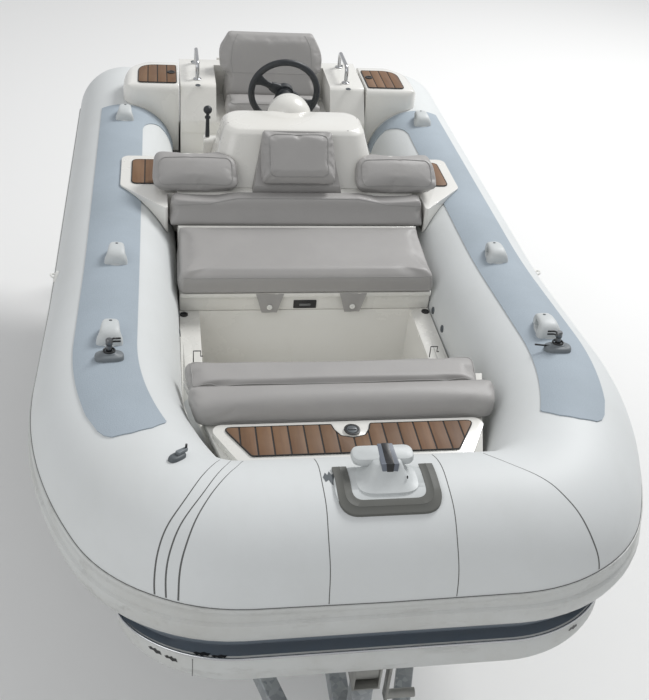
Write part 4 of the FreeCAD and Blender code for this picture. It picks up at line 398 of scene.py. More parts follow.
def bevelled(thing, width, segments=3, limit=30, angle=35):
    bevel = thing.modifiers.new("edges", "BEVEL")
    bevel.width = width
    bevel.segments = segments
    bevel.limit_method = "ANGLE"
    bevel.angle_limit = math.radians(limit)
    bevel.harden_normals = False
    bevel.use_clamp_overlap = True
    return applied(thing, angle)


def joinPieces(name, things):
    made = bmesh.new()
    materials = []
    for thing in things:
        offset = len(materials)
        materials += list(thing.data.materials)
        before = len(made.faces)
        made.from_mesh(thing.data)
        made.faces.ensure_lookup_table()
        for face in made.faces[before:]:
            face.material_index += offset
    mesh = bpy.data.meshes.new(name)
    made.to_mesh(mesh)
    made.free()
    for material in materials:
        mesh.materials.append(material)
    for thing in things:
        bpy.data.objects.remove(thing)
    return added(name, mesh)


def bodyOf(node):
    return frame["nodes"][node]["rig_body"]


def settle(thing, body, slot=None, stands=()):
    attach(thing, body)
    if stands:
        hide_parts(*stands)


def gridPiece(name, rows, finish, loop=False, ends=False, angle=60):
    # rows: equal lists of points; loop joins each row's last point to its first
    count = len(rows[0])
    points = [p for row in rows for p in row]
    faces = []
    for i in range(len(rows) - 1):
        for j in range(count if loop else count - 1):
            a = i * count + j
            b = i * count + (j + 1) % count
            faces.append((a, b, b + count, a + count))
    if ends:
        faces.append(tuple(range(count))[::-1])
        faces.append(tuple((len(rows) - 1) * count + j for j in range(count)))
    return piece(name, points, faces, finish, angle)


def lathe(name, outline, centre, axis, finish, steps=40, angle=35):
    # outline: (radius, distance along the axis); closed if it starts and ends on the axis or at one point
    axis = Vector(axis).normalized()
    side = axis.orthogonal().normalized()
    other = axis.cross(side)
    rows = []
    for radius, along in outline:
        ring = []
        for k in range(steps):
            turn = 2 * math.pi * k / steps
            ring.append(Vector(centre) + axis * along
                        + (side * math.cos(turn) + other * math.sin(turn)) * max(radius, 1e-5))
        rows.append(ring)
    return outward(gridPiece(name, rows, finish, loop=True, angle=angle))


def prismOf(name, outline, low, high, finish, bevel=0.004, segments=3, angle=35):
    # a level outline of (x, station) between two rises
    count = len(outline)
    points = [at(x, y, low) for x, y in outline] + [at(x, y, high) for x, y in outline]
    faces = [tuple(range(count))[::-1], tuple(range(count, 2 * count))]
    faces += [(k, (k + 1) % count, (k + 1) % count + count, k + count) for k in range(count)]
    thing = outward(piece(name, points, faces, finish, angle))
    return bevelled(thing, bevel, segments, angle=angle) if bevel else thing


def oblong(lowX, highX, lowY, highY):
    return [(lowX, lowY), (highX, lowY), (highX, highY), (lowX, highY)]


def rounded(outline, radius, steps=6):
    # rounds each corner of a closed flat outline
    points = []
    count = len(outline)
    radii = radius if isinstance(radius, (list, tuple)) else [radius] * count
    for k in range(count):
        here = Vector(outline[k])
        before = Vector(outline[k - 1]) - here
        after = Vector(outline[(k + 1) % count]) - here
        half = before.angle(after) / 2
        reach = min(radii[k] / math.tan(half), 0.48 * before.length, 0.48 * after.length)
        if reach < 1e-5:
            points.append(tuple(here))
            continue
        first = here + before.normalized() * reach
        last = here + after.normalized() * reach
        for step in range(steps + 1):
            t = step / steps
            points.append(tuple((1 - t) ** 2 * first + 2 * t * (1 - t) * here + t * t * last))
    return points


def rodAlong(name, points, radius, finish, closed=False, resolution=6):
    curve = bpy.data.curves.new(name, "CURVE")
    curve.dimensions = "3D"
    curve.bevel_depth = radius
    curve.bevel_resolution = resolution
    curve.use_fill_caps = not closed
    line = curve.splines.new("POLY")
    line.points.add(len(points) - 1)
    for place, p in zip(line.points, points):
        place.co = (*p, 1)
    line.use_cyclic_u = closed
    made = applied(added(name, curve), 50)
    made.data.materials.clear()
    made.data.materials.append(finishes[finish])
    return made


# Geometry Nodes: copies of a small form along a line


class Nodes:
    def __init__(self, name, inputs):
        self.tree = bpy.data.node_groups.new(name, "GeometryNodeTree")
        self.tree.interface.new_socket("Geometry", in_out="INPUT", socket_type="NodeSocketGeometry")
        self.sockets = {}
        for label, kind, value in inputs:
            made = self.tree.interface.new_socket(label, in_out="INPUT", socket_type=kind)
            made.default_value = value
            self.sockets[label] = made.identifier
        self.tree.interface.new_socket("Geometry", in_out="OUTPUT", socket_type="NodeSocketGeometry")
        self.start = self.tree.nodes.new("NodeGroupInput")
        self.end = self.tree.nodes.new("NodeGroupOutput")

    def node(self, kind, settings=None, values=None):
        made = self.tree.nodes.new(kind)
        for name, value in (settings or {}).items():
            setattr(made, name, value)
        for key, value in (values or {}).items():
            if hasattr(value, "links"):
                self.tree.links.new(value, made.inputs[key])
            else:
                made.inputs[key].default_value = value
        return made

    def given(self, label):
        return self.start.outputs[label]

    def finish(self, geometry, material):
        real = self.node("GeometryNodeRealizeInstances", None, {"Geometry": geometry})
        painted = self.node("GeometryNodeSetMaterial", None,
                            {"Geometry": real.outputs[0], "Material": material})
        self.tree.links.new(painted.outputs[0], self.end.inputs[0])


def boltTree(material):
    # round heads on points, each turned to its point's normal
    g = Nodes("boltHeads", [("Radius", "NodeSocketFloat", 0.006), ("Height", "NodeSocketFloat", 0.004),
                            ("Sides", "NodeSocketInt", 6)])
    head = g.node("GeometryNodeMeshCylinder", None,
                  {"Vertices": g.given("Sides"), "Radius": g.given("Radius"), "Depth": g.given("Height")})
    normal = g.node("GeometryNodeInputNamedAttribute", {"data_type": "FLOAT_VECTOR"}, {"Name": "facing"})
    turn = g.node("FunctionNodeAlignEulerToVector", {"axis": "Z"}, {"Vector": normal.outputs[0]})
    heads = g.node("GeometryNodeInstanceOnPoints", None,
                   {"Points": g.given("Geometry"), "Instance": head.outputs[0],
                    "Rotation": turn.outputs[0]})
    g.finish(heads.outputs[0], material)
    return g


def grown(thing, tree, values):
    # gives a thing the tree's result as a plain mesh
    modifier = thing.modifiers.new("grow", "NODES")
    modifier.node_group = tree.tree
    for label, value in values.items():
        modifier[tree.sockets[label]] = value
    return applied(thing, 40)


boltSets = {}
boltSides = 6


def boltHeads(name, places, radius, height, finish):
    if finish not in boltSets:
        boltSets[finish] = boltTree(finishes[finish])
    mesh = bpy.data.meshes.new(name)
    mesh.from_pydata([tuple(p) for p, facing in places], [], [])
    facing = mesh.attributes.new("facing", "FLOAT_VECTOR", "POINT")
    for entry, (p, direction) in zip(facing.data, places):
        entry.vector = Vector(direction).normalized()
    values = {"Radius": radius, "Height": height, "Sides": boltSides}
    return grown(added(name, mesh), boltSets[finish], values)


# The collar's line, from the port dome round the bow


def collarSpans():
    c = collar
    domeStation = tubeHigh.y - c["tube"] - bowY
    reach = c["sheerRadius"] * math.tan(c["sheerTurn"] / 2)
    cornerReach = c["cornerRadius"] * (1 - math.sin(c["sweepTurn"]))
    bowReach = c["sweepRadius"] * math.sin(c["sweepTurn"]) + cornerReach
    bowStation = c["tube"] + c["strake"]
    raised = (c["sheerStation"] - bowStation) / math.cos(c["sheerTurn"]) - bowReach - reach
    frontHalf = (tubeOffset - c["sweepRadius"] * (1 - math.cos(c["sweepTurn"]))
                 - c["cornerRadius"] * math.cos(c["sweepTurn"]))
    steps = [
        (domeStation - c["sheerStation"] - reach, None, False),
        (c["sheerRadius"] * c["sheerTurn"], c["sheerRadius"], True),
        (raised, None, False),
        (c["sweepRadius"] * c["sweepTurn"], c["sweepRadius"], False),
        (c["cornerRadius"] * (math.pi / 2 - c["sweepTurn"]), c["cornerRadius"], False),
        (frontHalf, None, False),
    ]
    place = (at(tubeOffset, domeStation, 0), Vector((0, -1, 0)), Vector((1, 0, 0)), Vector((0, 0, 1)))
    spans = []
    for length, radius, upward in steps:
        spans.append((length, place, radius, upward))
        place = alongSpan(spans[-1], length)
    return spans


def alongSpan(span, distance):
    length, (point, ahead, out, up), radius, upward = span
    if radius is None:
        return point + ahead * distance, ahead, out, up
    axis = ahead.cross(up) if upward else -ahead.cross(out)
    centre = point + up * radius if upward else point - out * radius
    turn = Matrix.Rotation(distance / radius, 3, axis)
    return centre + turn @ (point - centre), turn @ ahead, turn @ out, turn @ up


spans = collarSpans()
collarHalf = sum(span[0] for span in spans)


def collarFrame(distance):
    # past the bow's centre the frame is the port one mirrored
    if distance > collarHalf:
        point, ahead, out, up = collarFrame(2 * collarHalf - distance)
        flip = Vector((-1, 1, 1))
        return point * flip, -(ahead * flip), out * flip, up * flip
    for span in spans:
        if distance <= span[0] or span is spans[-1]:
            return alongSpan(span, distance)
        distance -= span[0]


def onTube(distance, degrees, height=0.0):
    # degrees go from straight outboard up over the top
    point, ahead, out, up = collarFrame(distance)
    turn = math.radians(degrees)
    direction = out * math.cos(turn) + up * math.sin(turn)
    return point + direction * (collar["tube"] + height)


def distanceAt(station):
    low, high = 0.0, collarHalf
    for step in range(40):
        middle = (low + high) / 2
        if collarFrame(middle)[0].y - bowY > station:
            low = middle
        else:
            high = middle
    return low


def tubeCollar():
    steps = collar["ringSteps"]
    domeRings = collar["domeRings"]
    stretch = 2 * collarHalf
    count = int(stretch / collar["alongStep"])
    rows = []

    def ring(distance, back, radius):
        point, ahead, out, up = collarFrame(distance)
        return [point + ahead * back + (out * math.cos(2 * math.pi * k / steps)
                                        + up * math.sin(2 * math.pi * k / steps)) * radius
                for k in range(steps)]
    tube = collar["tube"]
    for k in range(domeRings):
        turn = math.pi / 2 * (1 - k / domeRings)
        rows.append(ring(0, -tube * math.sin(turn), max(tube * math.cos(turn), 1e-4)))
    for k in range(count + 1):
        rows.append(ring(stretch * k / count, 0, tube))
    for k in range(1, domeRings + 1):
        turn = math.pi / 2 * k / domeRings
        rows.append(ring(stretch, tube * math.sin(turn), max(tube * math.cos(turn), 1e-4)))
    thing = outward(gridPiece("tubeCollar", rows, "collar", loop=True, angle=70))
    settle(thing, "boat", "collar", ["tube_collar"])


patches = {
    "thick": 0.003, "aft": 2.593,
    # each part: (first angle, last angle, angles across, steps along)
    "Main": (65.5, 113.5, 25, 170), "Foot": (113.5, 170, 30, 14),
    # the front edge: (degrees, distance from the bow's centre)
    "nose": [(65.5, 0.760), (66.5, 0.705), (69.0, 0.668), (73.0, 0.647), (86.0, 0.632), (100.0, 0.633),
             (112.0, 0.655), (113.5, 0.662)],
    # the foot down the inboard side: (degrees, distance from the dome)
    "foot": [(113.5, 0.606), (116, 0.560), (122, 0.520), (130, 0.486), (137, 0.468), (154, 0.464),
             (170, 0.470)],
}


def patchGrid(name, degrees, begin, finish, count, side):
    # finish gives each angle's far edge; the rim turns down to the tube
    rows = []
    for i in range(-1, count + 2):
        share = min(max(i / count, 0), 1)
        thick = 0.0 if i in (-1, count + 1) else patches["thick"]
        row = []
        for j, turn in enumerate([degrees[0], *degrees, degrees[-1]]):
            high = thick if 0 < j <= len(degrees) else 0.0
            row.append(onTube(begin + (finish(turn) - begin) * share, turn, high))
        if side < 0:
            row = [p * Vector((-1, 1, 1)) for p in row]
        rows.append(row)
    return outward(gridPiece(name, rows, "patch", angle=50))


def tubePatches():
    begin = distanceAt(patches["aft"])

    def nose(turn):
        return collarHalf - float(np.interp(turn, *zip(*patches["nose"])))

    def foot(turn):
        return float(np.interp(turn, *zip(*patches["foot"])))
    done = []
    for side in (1, -1):
        for word, edge in (("Main", nose), ("Foot", foot)):
            first, last, angles, steps = patches[word]
            degrees = np.linspace(first, last, angles)
            done.append(patchGrid("patch%s%d" % (word, side), degrees, begin, edge, steps, side))
    both = joinPieces("tubePatches", done)
    soften(both, 50)
    settle(both, "boat", "patch", ["tube_patches"])


strake = {
    # the top edge, then the face below straight outboard: (degrees, how far it stands off the tube)
    "edge": [(0.0, 0.0), (-0.4, 0.0034), (-1.2, 0.0040), (-3.0, 0.0038), (-3.6, 0.0022)],
    "face": [(0.0, 0.0022), (-4.6, 0.0022), (-5.6, 0.0088), (-9.0, 0.0118), (-14.0, 0.0130),
             (-19.0, 0.0112), (-22.5, 0.0070), (-24.0, 0.0)],
    # the top edge rises round the bow: (distance from the bow's centre, degrees)
    "top": [(0.0, 4.6), (0.30, 5.4), (0.42, 7.6), (0.60, 8.0)],
    "aft": 2.96, "step": 0.02,
}


def strakeTop(distance):
    return float(np.interp(abs(distance - collarHalf), *zip(*strake["top"])))


def rubStrake():
    begin = distanceAt(strake["aft"])
    finish = 2 * collarHalf - begin
    count = int((finish - begin) / strake["step"])
    rows = []
    for i in range(count + 1):
        s = begin + (finish - begin) * i / count
        edge = [(strakeTop(s) + degrees, height) for degrees, height in strake["edge"]]
        rows.append([onTube(s, degrees, height) for degrees, height in edge + strake["face"]])
    thing = outward(gridPiece("rubStrake", rows, "strake", ends=True, angle=40))
    settle(thing, "boat", "strake", ["rub_strake"])


lip = {
    "reach": 0.186, "inner": 0.139, "top": -0.150, "bottom": -0.218, "nose": 0.012, "aft": 0.300,
    "full": 0.300, "step": 0.012, "bead": 0.0030,
    # the inner corners: (reach, above the bottom or the top)
    "root": [(0.118, 0.03), (0.100, 0.0)], "shelf": 0.146,
    # the tray between tube and lip: a band over the tube under the strake and over the lip's top, coloured
    # dark blue-grey as painted shade
    "trayDegrees": (-23.6, -30, -38, -45.5), "trayOff": 0.0012, "trayReach": 0.1485, "trayLift": 0.0006,
}


def onLip(distance, reach, rise):
    # the section shrinks to the tube's skin at both ends
    away = abs(distance - collarHalf)
    last = collarHalf - distanceAt(lip["aft"])
    share = min(max((away - lip["full"]) / (last - lip["full"]), 0), 0.998)
    keep = math.sqrt(1 - share ** 2)
    point, ahead, out, up = collarFrame(distance)
    across = lip["inner"] + (reach - lip["inner"]) * keep
    return point + out * across + up * (lip["top"] + (rise - lip["top"]) * keep)


def alongLip(reach, rise):
    begin = distanceAt(lip["aft"])
    finish = 2 * collarHalf - begin
    count = int((finish - begin) / lip["step"])
    return [onLip(begin + (finish - begin) * i / count, reach, rise) for i in range(count + 1)]


def bowLip():
    c = lip
    reach, top, bottom, nose = c["reach"], c["top"], c["bottom"], c["nose"]
    outline = [(inner, bottom + rise) for inner, rise in c["root"]]
    outline += [(reach - nose, bottom), (reach - 0.003, bottom + 0.004), (reach, bottom + nose),
                (reach, top - nose), (reach - 0.004, top - 0.003), (reach - nose, top), (c["shelf"], top)]
    rows = [list(row) for row in zip(*[alongLip(*place) for place in outline])]
    body = outward(gridPiece("lipBody", rows, "strake", loop=True, ends=True, angle=40))
    begin = distanceAt(c["aft"])
    under = [[onTube(s, degrees, c["trayOff"]) for s in np.linspace(begin, 2 * collarHalf - begin, len(rows))]
             for degrees in c["trayDegrees"]]
    over = [alongLip(place, top + c["trayLift"]) for place in (c["trayReach"], reach - nose)]
    # this band carries the painted shade under the strake
    tray = gridPiece("lipTray", under + over, "recessShade", angle=40)
    bead = rodAlong("lipBead", alongLip(reach - 0.004, top - 0.001), c["bead"], "stainless")
    settle(joinPieces("bowLip", [body, tray, bead]), "boat", "strake", ["bow_lip"])


seams = {
    # (distance from the bow's centre, to port when positive; degrees), each line down to the strake
    "lines": [
        [(-0.294, 120), (-0.361, 87.7), (-0.382, 58.5), (-0.388, 45.3), (-0.3865, 8.5)],
        [(-0.345, 120), (-0.372, 92), (-0.3985, 57), (-0.407, 43.4), (-0.400, 8.5)],
        [(-0.392, 118), (-0.399, 92), (-0.4152, 55.2), (-0.4225, 41.2), (-0.413, 8.5)],
        [(-0.135, 118), (-0.135, 60), (-0.135, 6)],
        [(0.149, 118), (0.149, 60), (0.149, 6)],
        [(0.270, 116), (0.284, 103), (0.370, 81), (0.398, 46), (0.411, 9)],
    ],
    # across a seam: (share of the width, share of the height)
    "section": [(-1, 0), (-0.5, 1), (0.5, 1), (1, 0)],
    "width": 0.0011, "height": 0.0003, "wander": 0.0006, "points": 60, "smooth": 15,
}


def bowSeams():
    c = seams
    done = []
    for k, line in enumerate(c["lines"]):
        turns = np.linspace(line[0][1], line[-1][1], c["points"])
        places = np.interp(-turns, [-p[1] for p in line], [p[0] for p in line])
        padded = np.pad(places, c["smooth"] // 2, mode="edge")
        places = np.convolve(padded, np.ones(c["smooth"]) / c["smooth"], mode="valid")
        rows = []
        for turn, s in zip(turns, places):
            middle = collarHalf - s - c["wander"] * math.sin(turn * 0.17 + k)
            rows.append([onTube(middle + c["width"] * across, turn, c["height"] * high)
                         for across, high in c["section"]])
        done.append(gridPiece("seam%d" % k, rows, "seam"))
    settle(joinPieces("bowSeams", done), "boat", "collar")


print("tube and strakes")
tubeCollar()
tubePatches()
rubStrake()
bowLip()
bowSeams()


# CAD nodes that keep their form get softened edges


def dressed(node, finish, bevel):
    mesh = frame["nodes"][node].data.copy()
    thing = added(node + "Dressed", mesh)
    made = bmesh.new()
    made.from_mesh(mesh)
    bmesh.ops.remove_doubles(made, verts=made.verts, dist=2e-5)
    bmesh.ops.dissolve_limit(made, angle_limit=math.radians(1.0), verts=made.verts, edges=made.edges)
    made.to_mesh(mesh)
    made.free()
    mesh.materials.clear()
    mesh.materials.append(finishes[finish])
    thing = bevelled(thing, bevel, limit=24)
    soften(thing, 32)
    settle(thing, bodyOf(node), finish, [node])


slotOf = {entry["node"]: entry["material_slot"] for entry in frame["record"]["subparts"]}

# how far each node's edges are softened
edgeWidths = {
    "hull_shell": 0.006, "deck_liner": 0.009, "bow_step": 0.006, "bow_locker_lid": 0.003, "bench_base": 0.006,
    "bench_lid": 0.002, "mid_thwart": 0.009, "side_steps": 0.006, "console": 0.004,
    "engine_bay": 0.003, "engine_hatch": 0.007, "aft_pods": 0.006, "throttle": 0.003,
    "intake_grate": 0.001, "jet_duct": 0.003, "impeller": 0.001, "jet_nozzle": 0.002, "reverse_bucket": 0.002,
    "trailer_frame": 0.004, "trailer_axle": 0.003, "winch_post": 0.003, "mudguards": 0.0012, "coupling": 0.004,
    "jockey_sleeve": 0.0015, "jockey_leg": 0.0015, "jockey_fork": 0.002, "lamp_board": 0.003, "lamps": 0.005,
    "engine_block": 0.01, "keel_roller": 0.002, "winch": 0.002, "bunks": 0.006, "rim_left": 0.002,
    "rim_right": 0.002, "hatch_handles": 0.0015, "jockey_wheel": 0.003,
}
for name, width in edgeWidths.items():
    dressed(name, slotOf[name], width)
dressed("pad_shell", "vinyl", 0.007)


def whitened(name, chosen):
    # the chosen faces show the deck's white moulding
    mesh = bpy.data.objects[name].data
    mesh.materials.append(finishes["moulding"])
    for polygon in mesh.polygons:
        if chosen(polygon):
            polygon.material_index = 1


# the hull's flat rim beside the side decks, and the foot of the lever
rimBottom = 0.925
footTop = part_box("throttle")[0].z + 0.062
whitened("hull_shellDressed", lambda p: p.normal.z > 0.3 and p.center.z > rimBottom)
whitened("throttleDressed", lambda p: p.center.z < footTop)
print("hard nodes softened:", len(edgeWidths))


# Cushions: the CAD form, blown up a little as cloth, with seams laid on afterwards

cushions = {
    "bow_bolster": {"voxel": 0.006, "cap": 0.012, "shrink": 0.0, "relax": 22, "wide": 1.03},
    "bow_cushion": {"voxel": 0.006, "cap": 0.010, "shrink": 0.003, "relax": 8, "wide": 0.975, "slid": -0.012},
    "bench_cushion": {"voxel": 0.0075, "cap": 0.010, "shrink": 0.003, "relax": 6},
    "bench_back": {"voxel": 0.006, "cap": 0.010, "shrink": 0.003},
    "centre_pad": {"voxel": 0.005, "cap": 0.012, "shrink": 0.003, "wide": 1.06},
    "side_pads": {"voxel": 0.005, "cap": 0.012, "shrink": -0.002, "relax": 14},
    "helm_seat": {"voxel": 0.006, "cap": 0.014, "shrink": 0.005},
    "helm_back": {"voxel": 0.006, "cap": 0.014, "shrink": 0.005},
}
air = {"pressure": 4.0, "frames": 20, "quality": 4, "rest": 0.004}
skins = {}


def eased(values, low, high):
    share = np.clip((values - low) / (high - low), 0, 1)
    return share * share * (3 - 2 * share)


def overHinge(places):
    # the bench cushion's rear rises and reaches over the lid's hinge
    base = at(0, 1.40, 0.085)
    share = eased(places[:, 1], base.y, base.y + 0.25) * eased(places[:, 2], base.z, base.z + 0.03)
    places[:, 2] += 0.018 * share
    places[:, 1] += 0.016 * share ** 2


def overFront(places):
    # the back cushion's foot bulges forward and hangs a little below its shelf
    top = at(0, 1.700, 0.215)
    share = eased(-places[:, 2], -top.z, -top.z + 0.060)
    share *= eased(-places[:, 1], -top.y - 0.020, -top.y + 0.010)
    places[:, 1] -= 0.014 * share
    places[:, 2] -= 0.006 * share
    crest = eased(places[:, 2], top.z - 0.015, top.z + 0.010)
    places[:, 2] += crest * (0.004 + 0.011 * eased(abs(places[:, 0]), 0.20, 0.29))


drape = {"bench_cushion": overHinge, "bench_back": overFront}


def ownMesh(node, name):
    made = bmesh.new()
    made.from_mesh(frame["nodes"][node].data)
    bmesh.ops.remove_doubles(made, verts=made.verts, dist=2e-5)
    bmesh.ops.recalc_face_normals(made, faces=made.faces)
    mesh = bpy.data.meshes.new(name)
    made.to_mesh(mesh)
    made.free()
    return added(name, mesh)


def vectorsOf(items, key):
    values = np.empty(len(items) * 3)
    items.foreach_get(key, values)
    return values.reshape(-1, 3)


def blownUp(thing, start, cap):
    # a short cloth run under pressure, with each point kept within the cap
    floor = start[:, 2].min()
    pins = thing.vertex_groups.new(name="rest")
    pins.add([k for k in range(len(start)) if start[k, 2] < floor + air["rest"]], 1.0, "REPLACE")
    cloth = thing.modifiers.new("air", "CLOTH")
    cloth.settings.use_pressure = True
    cloth.settings.uniform_pressure_force = air["pressure"]
    cloth.settings.vertex_group_mass = "rest"
    cloth.settings.effector_weights.gravity = 0.0
    cloth.settings.quality = air["quality"]
    cloth.collision_settings.use_collision = False
    cloth.point_cache.frame_start = 1
    cloth.point_cache.frame_end = air["frames"]
    for step in range(1, air["frames"] + 1):
        bpy.context.scene.frame_set(step)
    graph = bpy.context.evaluated_depsgraph_get()
    blown = thing.evaluated_get(graph)
    move = vectorsOf(blown.data.vertices, "co") - start
    thing.modifiers.clear()
    thing.vertex_groups.clear()
    bpy.context.scene.frame_set(1)
    far = np.linalg.norm(move, axis=1, keepdims=True)
    return start + move * np.minimum(1.0, cap / np.maximum(far, 1e-9))


def cushion(node):
    c = cushions[node]
    thing = ownMesh(node, node.replace("_", "") + "Soft")
    remesh = thing.modifiers.new("even", "REMESH")
    remesh.mode = "VOXEL"
    remesh.voxel_size = c["voxel"]
    smooth = thing.modifiers.new("relax", "SMOOTH")
    smooth.factor = 0.5
    smooth.iterations = c.get("relax", 4)
    thing = applied(thing, 0)
    mesh = thing.data
    start = vectorsOf(mesh.vertices, "co")
    start[:, 0] = start[:, 0] * c.get("wide", 1.0) + c.get("slid", 0.0)
    if node in drape:
        drape[node](start)
    start -= vectorsOf(mesh.vertex_normals, "vector") * c["shrink"]
    mesh.vertices.foreach_set("co", start.ravel())
    mesh.update()
    mesh.vertices.foreach_set("co", blownUp(thing, start, c["cap"]).ravel())
    mesh.update()
    calm = thing.modifiers.new("calm", "SMOOTH")
    calm.factor = 0.5
    calm.iterations = 5
    finer = thing.modifiers.new("finer", "SUBSURF")
    finer.levels = 1
    finer.render_levels = 1
    thing = applied(thing, 80)
    thing.data.materials.clear()
    thing.data.materials.append(finishes["vinyl"])
    settle(thing, bodyOf(node), "vinyl", [node])
    skins[node] = BVHTree.FromObject(thing, bpy.context.evaluated_depsgraph_get())
    print(node, "soft", [round(v, 3) for v in thing.dimensions], len(thing.data.polygons))


for node in cushions:
    cushion(node)


# Teak: planks over a black caulk sheet

teak = {
    "pitch": 0.0405, "gap": 0.0042, "thick": 0.004, "sheet": 0.0026, "border": 0.0021, "sunk": 0.0005,
    "bevel": 0.0007, "beyond": 1.0,
}
bowTeak = {
    "half": 0.3325, "rise": 0.1823, "front": [(-0.2665, 0.458), (0.2665, 0.458), (0.3325, 0.5664)],
    "notch": [(0.052, 0.5664), (0.046, 0.545), (0.032, 0.522), (0.0, 0.513), (-0.032, 0.522), (-0.046, 0.545),
              (-0.052, 0.5664)],
    "radii": [0.012] * 3 + [0.004] * 7 + [0.012],
}
# panels on both sides: (low x, high x, low station, high station), corner radii, steps a corner, rise, node
sideTeak = {
    "stepTeak": ((0.4453, 0.584, 1.858, 2.050), [0.003, 0.022, 0.022, 0.003], 6, 0.216, "teak_mid"),
    "podTeak": ((0.411, 0.569, 2.6306, 2.829), [0.010, 0.014, 0.086, 0.010], 10, 0.292, "teak_aft"),
}


def clipped(outline, axis, limit, keepAbove):
    kept = []
    for k, here in enumerate(outline):
        before = outline[k - 1]
        inside = here[axis] >= limit if keepAbove else here[axis] <= limit
        wasInside = before[axis] >= limit if keepAbove else before[axis] <= limit
        if inside != wasInside:
            t = (limit - before[axis]) / (here[axis] - before[axis])
            kept.append(tuple(a + (b - a) * t for a, b in zip(before, here)))
        if inside:
            kept.append(tuple(here))
    return kept


def teakPanel(name, outline, rise, first, last):
    # outline of (x, station); first and last bound the planks across
    sheet = prismOf(name + "Caulk", outline, rise, rise + teak["sheet"], "caulk", 0)
    count = max(1, round((last - first) / teak["pitch"]))
    pitch = (last - first) / count
    boards = []
    for k in range(count):
        left = first + k * pitch + (teak["gap"] / 2 if k else -teak["beyond"])
        right = first + (k + 1) * pitch - (teak["gap"] / 2 if k < count - 1 else -teak["beyond"])
        board = clipped(clipped(outline, 0, left, True), 0, right, False)
        if len(board) > 2:
            low, high = rise + teak["sunk"], rise + teak["thick"]
            boards.append(prismOf(name + "Board%d" % k, board, low, high, "teak", teak["bevel"], 2))
    edge = [at(x, y, rise + teak["sheet"]) for x, y in outline]
    border = rodAlong(name + "Edge", edge, teak["border"], "caulk", closed=True, resolution=2)
    return [sheet, border] + boards


def teakDecks():
    c = bowTeak
    outline = rounded(c["front"] + c["notch"] + [(-c["half"], 0.5664)], c["radii"], 4)
    panel = teakPanel("bowTeak", outline, c["rise"], -c["half"], c["half"])
    settle(joinPieces("bowTeak", panel), "bow_lid", "teak", ["teak_bow"])
    for name, (edges, radii, steps, rise, node) in sideTeak.items():
        panels = []
        for side in (1, -1):
            outline = [(side * x, y) for x, y in rounded(oblong(*edges), radii, steps)]
            first, last = sorted((side * edges[0], side * edges[1]))
            panels += teakPanel("%s%d" % (name, side), outline, rise, first, last)
        settle(joinPieces(name, panels), "boat", "teak", [node])


teakDecks()
print("teak laid")


# Tyres: a turned carcass with grooves and Geometry Nodes tread blocks

tyre = {
    "radius": 0.2430, "half": 0.0725, "bead": 0.127, "gap": 0.0004, "bore": 0.026,
    # up a side wall: (radius past the bead, or short of the tread when negative; distance in from the side)
    "wall": [(0.0004, 0.016), (0.012, 0.006), (0.030, 0.001), (-0.066, 0.0002), (-0.045, 0.001),
             (-0.030, 0.0035), (-0.020, 0.0075), (-0.010, 0.013), (-0.0045, 0.021)],
    # across the tread: (short of the radius, distance along the axle)
    "crown": [(0.001, -0.035), (0.0, 0.0), (0.001, 0.035)],
}


def roadTyre(node):
    c = tyre
    low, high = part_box(node)
    half = c["half"]
    wall = [((c["radius"] if reach < 0 else c["bead"]) + reach, inset - half) for reach, inset in c["wall"]]
    inner = c["bead"] + c["gap"]
    outline = wall + [(c["radius"] - short, along) for short, along in c["crown"]]
    outline += [(radius, -along) for radius, along in wall][::-1]
    outline += [(inner, half - c["bore"]), (inner, c["bore"] - half), wall[0]]
    thing = lathe(node + "Carcass", outline, (low + high) / 2, (1, 0, 0), "tyre_rubber", 96, 28)
    settle(thing, bodyOf(node), "tyre_rubber", [node])


for node in ("tyre_left", "tyre_right"):
    roadTyre(node)
print("tyres turned")


# Seams on the cushions: short piping laid on the blown-up form


def snapped(node, places, lift):
    tree = skins[node]
    line = []
    for place in places:
        spot, normal, index, gap = tree.find_nearest(at(*place))
        line.append(spot + normal * lift)
    return line


def spread(corners, closed=True, step=0.012):
    # even points between corners
    points = []
    ends = corners[1:] + corners[:1] if closed else corners[1:]
    for here, there in zip(corners, ends):
        here, there = Vector(here), Vector(there)
        count = max(1, int((there - here).length / step))
        points += [tuple(here + (there - here) * k / count) for k in range(count)]
    if not closed:
        points.append(tuple(corners[-1]))
    return points


def roundLoop(lowA, highA, lowB, highB, radius, place):
    # a rounded rectangle in two measures, turned into places by the given rule
    flat = rounded(oblong(lowA, highA, lowB, highB), radius)
    return spread([place(a, b) for a, b in flat])


piping = {
    "radius": 0.0019, "lift": 0.0004, "lineRadius": 0.0015,
    # the centre pad's front: lowest station, rise and lean
    "padFoot": (1.720, 0.295), "lean": math.radians(40),
    # the side pads' slope: lowest station and rise
    "wedgeFoot": (1.728, 0.261), "wedge": 0.081 / 0.097,
}


def cushionSeams(node, loops, lines):
    done = []
    for k, places in enumerate(loops):
        done.append(rodAlong("%sSeam%d" % (node, k), snapped(node, places, piping["lift"]), piping["radius"],
                             "piping", closed=True, resolution=2))
    for k, places in enumerate(lines):
        done.append(rodAlong("%sLine%d" % (node, k), snapped(node, spread(places, False), 0.0),
                             piping["lineRadius"], "piping", resolution=2))
    settle(joinPieces(node.replace("_", "") + "Seams", done), bodyOf(node), "vinyl")


def upPad(x, t):
    # from (x, distance up the centre pad's front) to a place
    station, rise = piping["padFoot"]
    return (x, station + math.sin(piping["lean"]) * t, rise + math.cos(piping["lean"]) * t)


def upWedge(x, t):
    station, rise = piping["wedgeFoot"]
    return (x, station + t, rise + piping["wedge"] * t)


def level(rise):
    return lambda x, y: (x, y, rise)


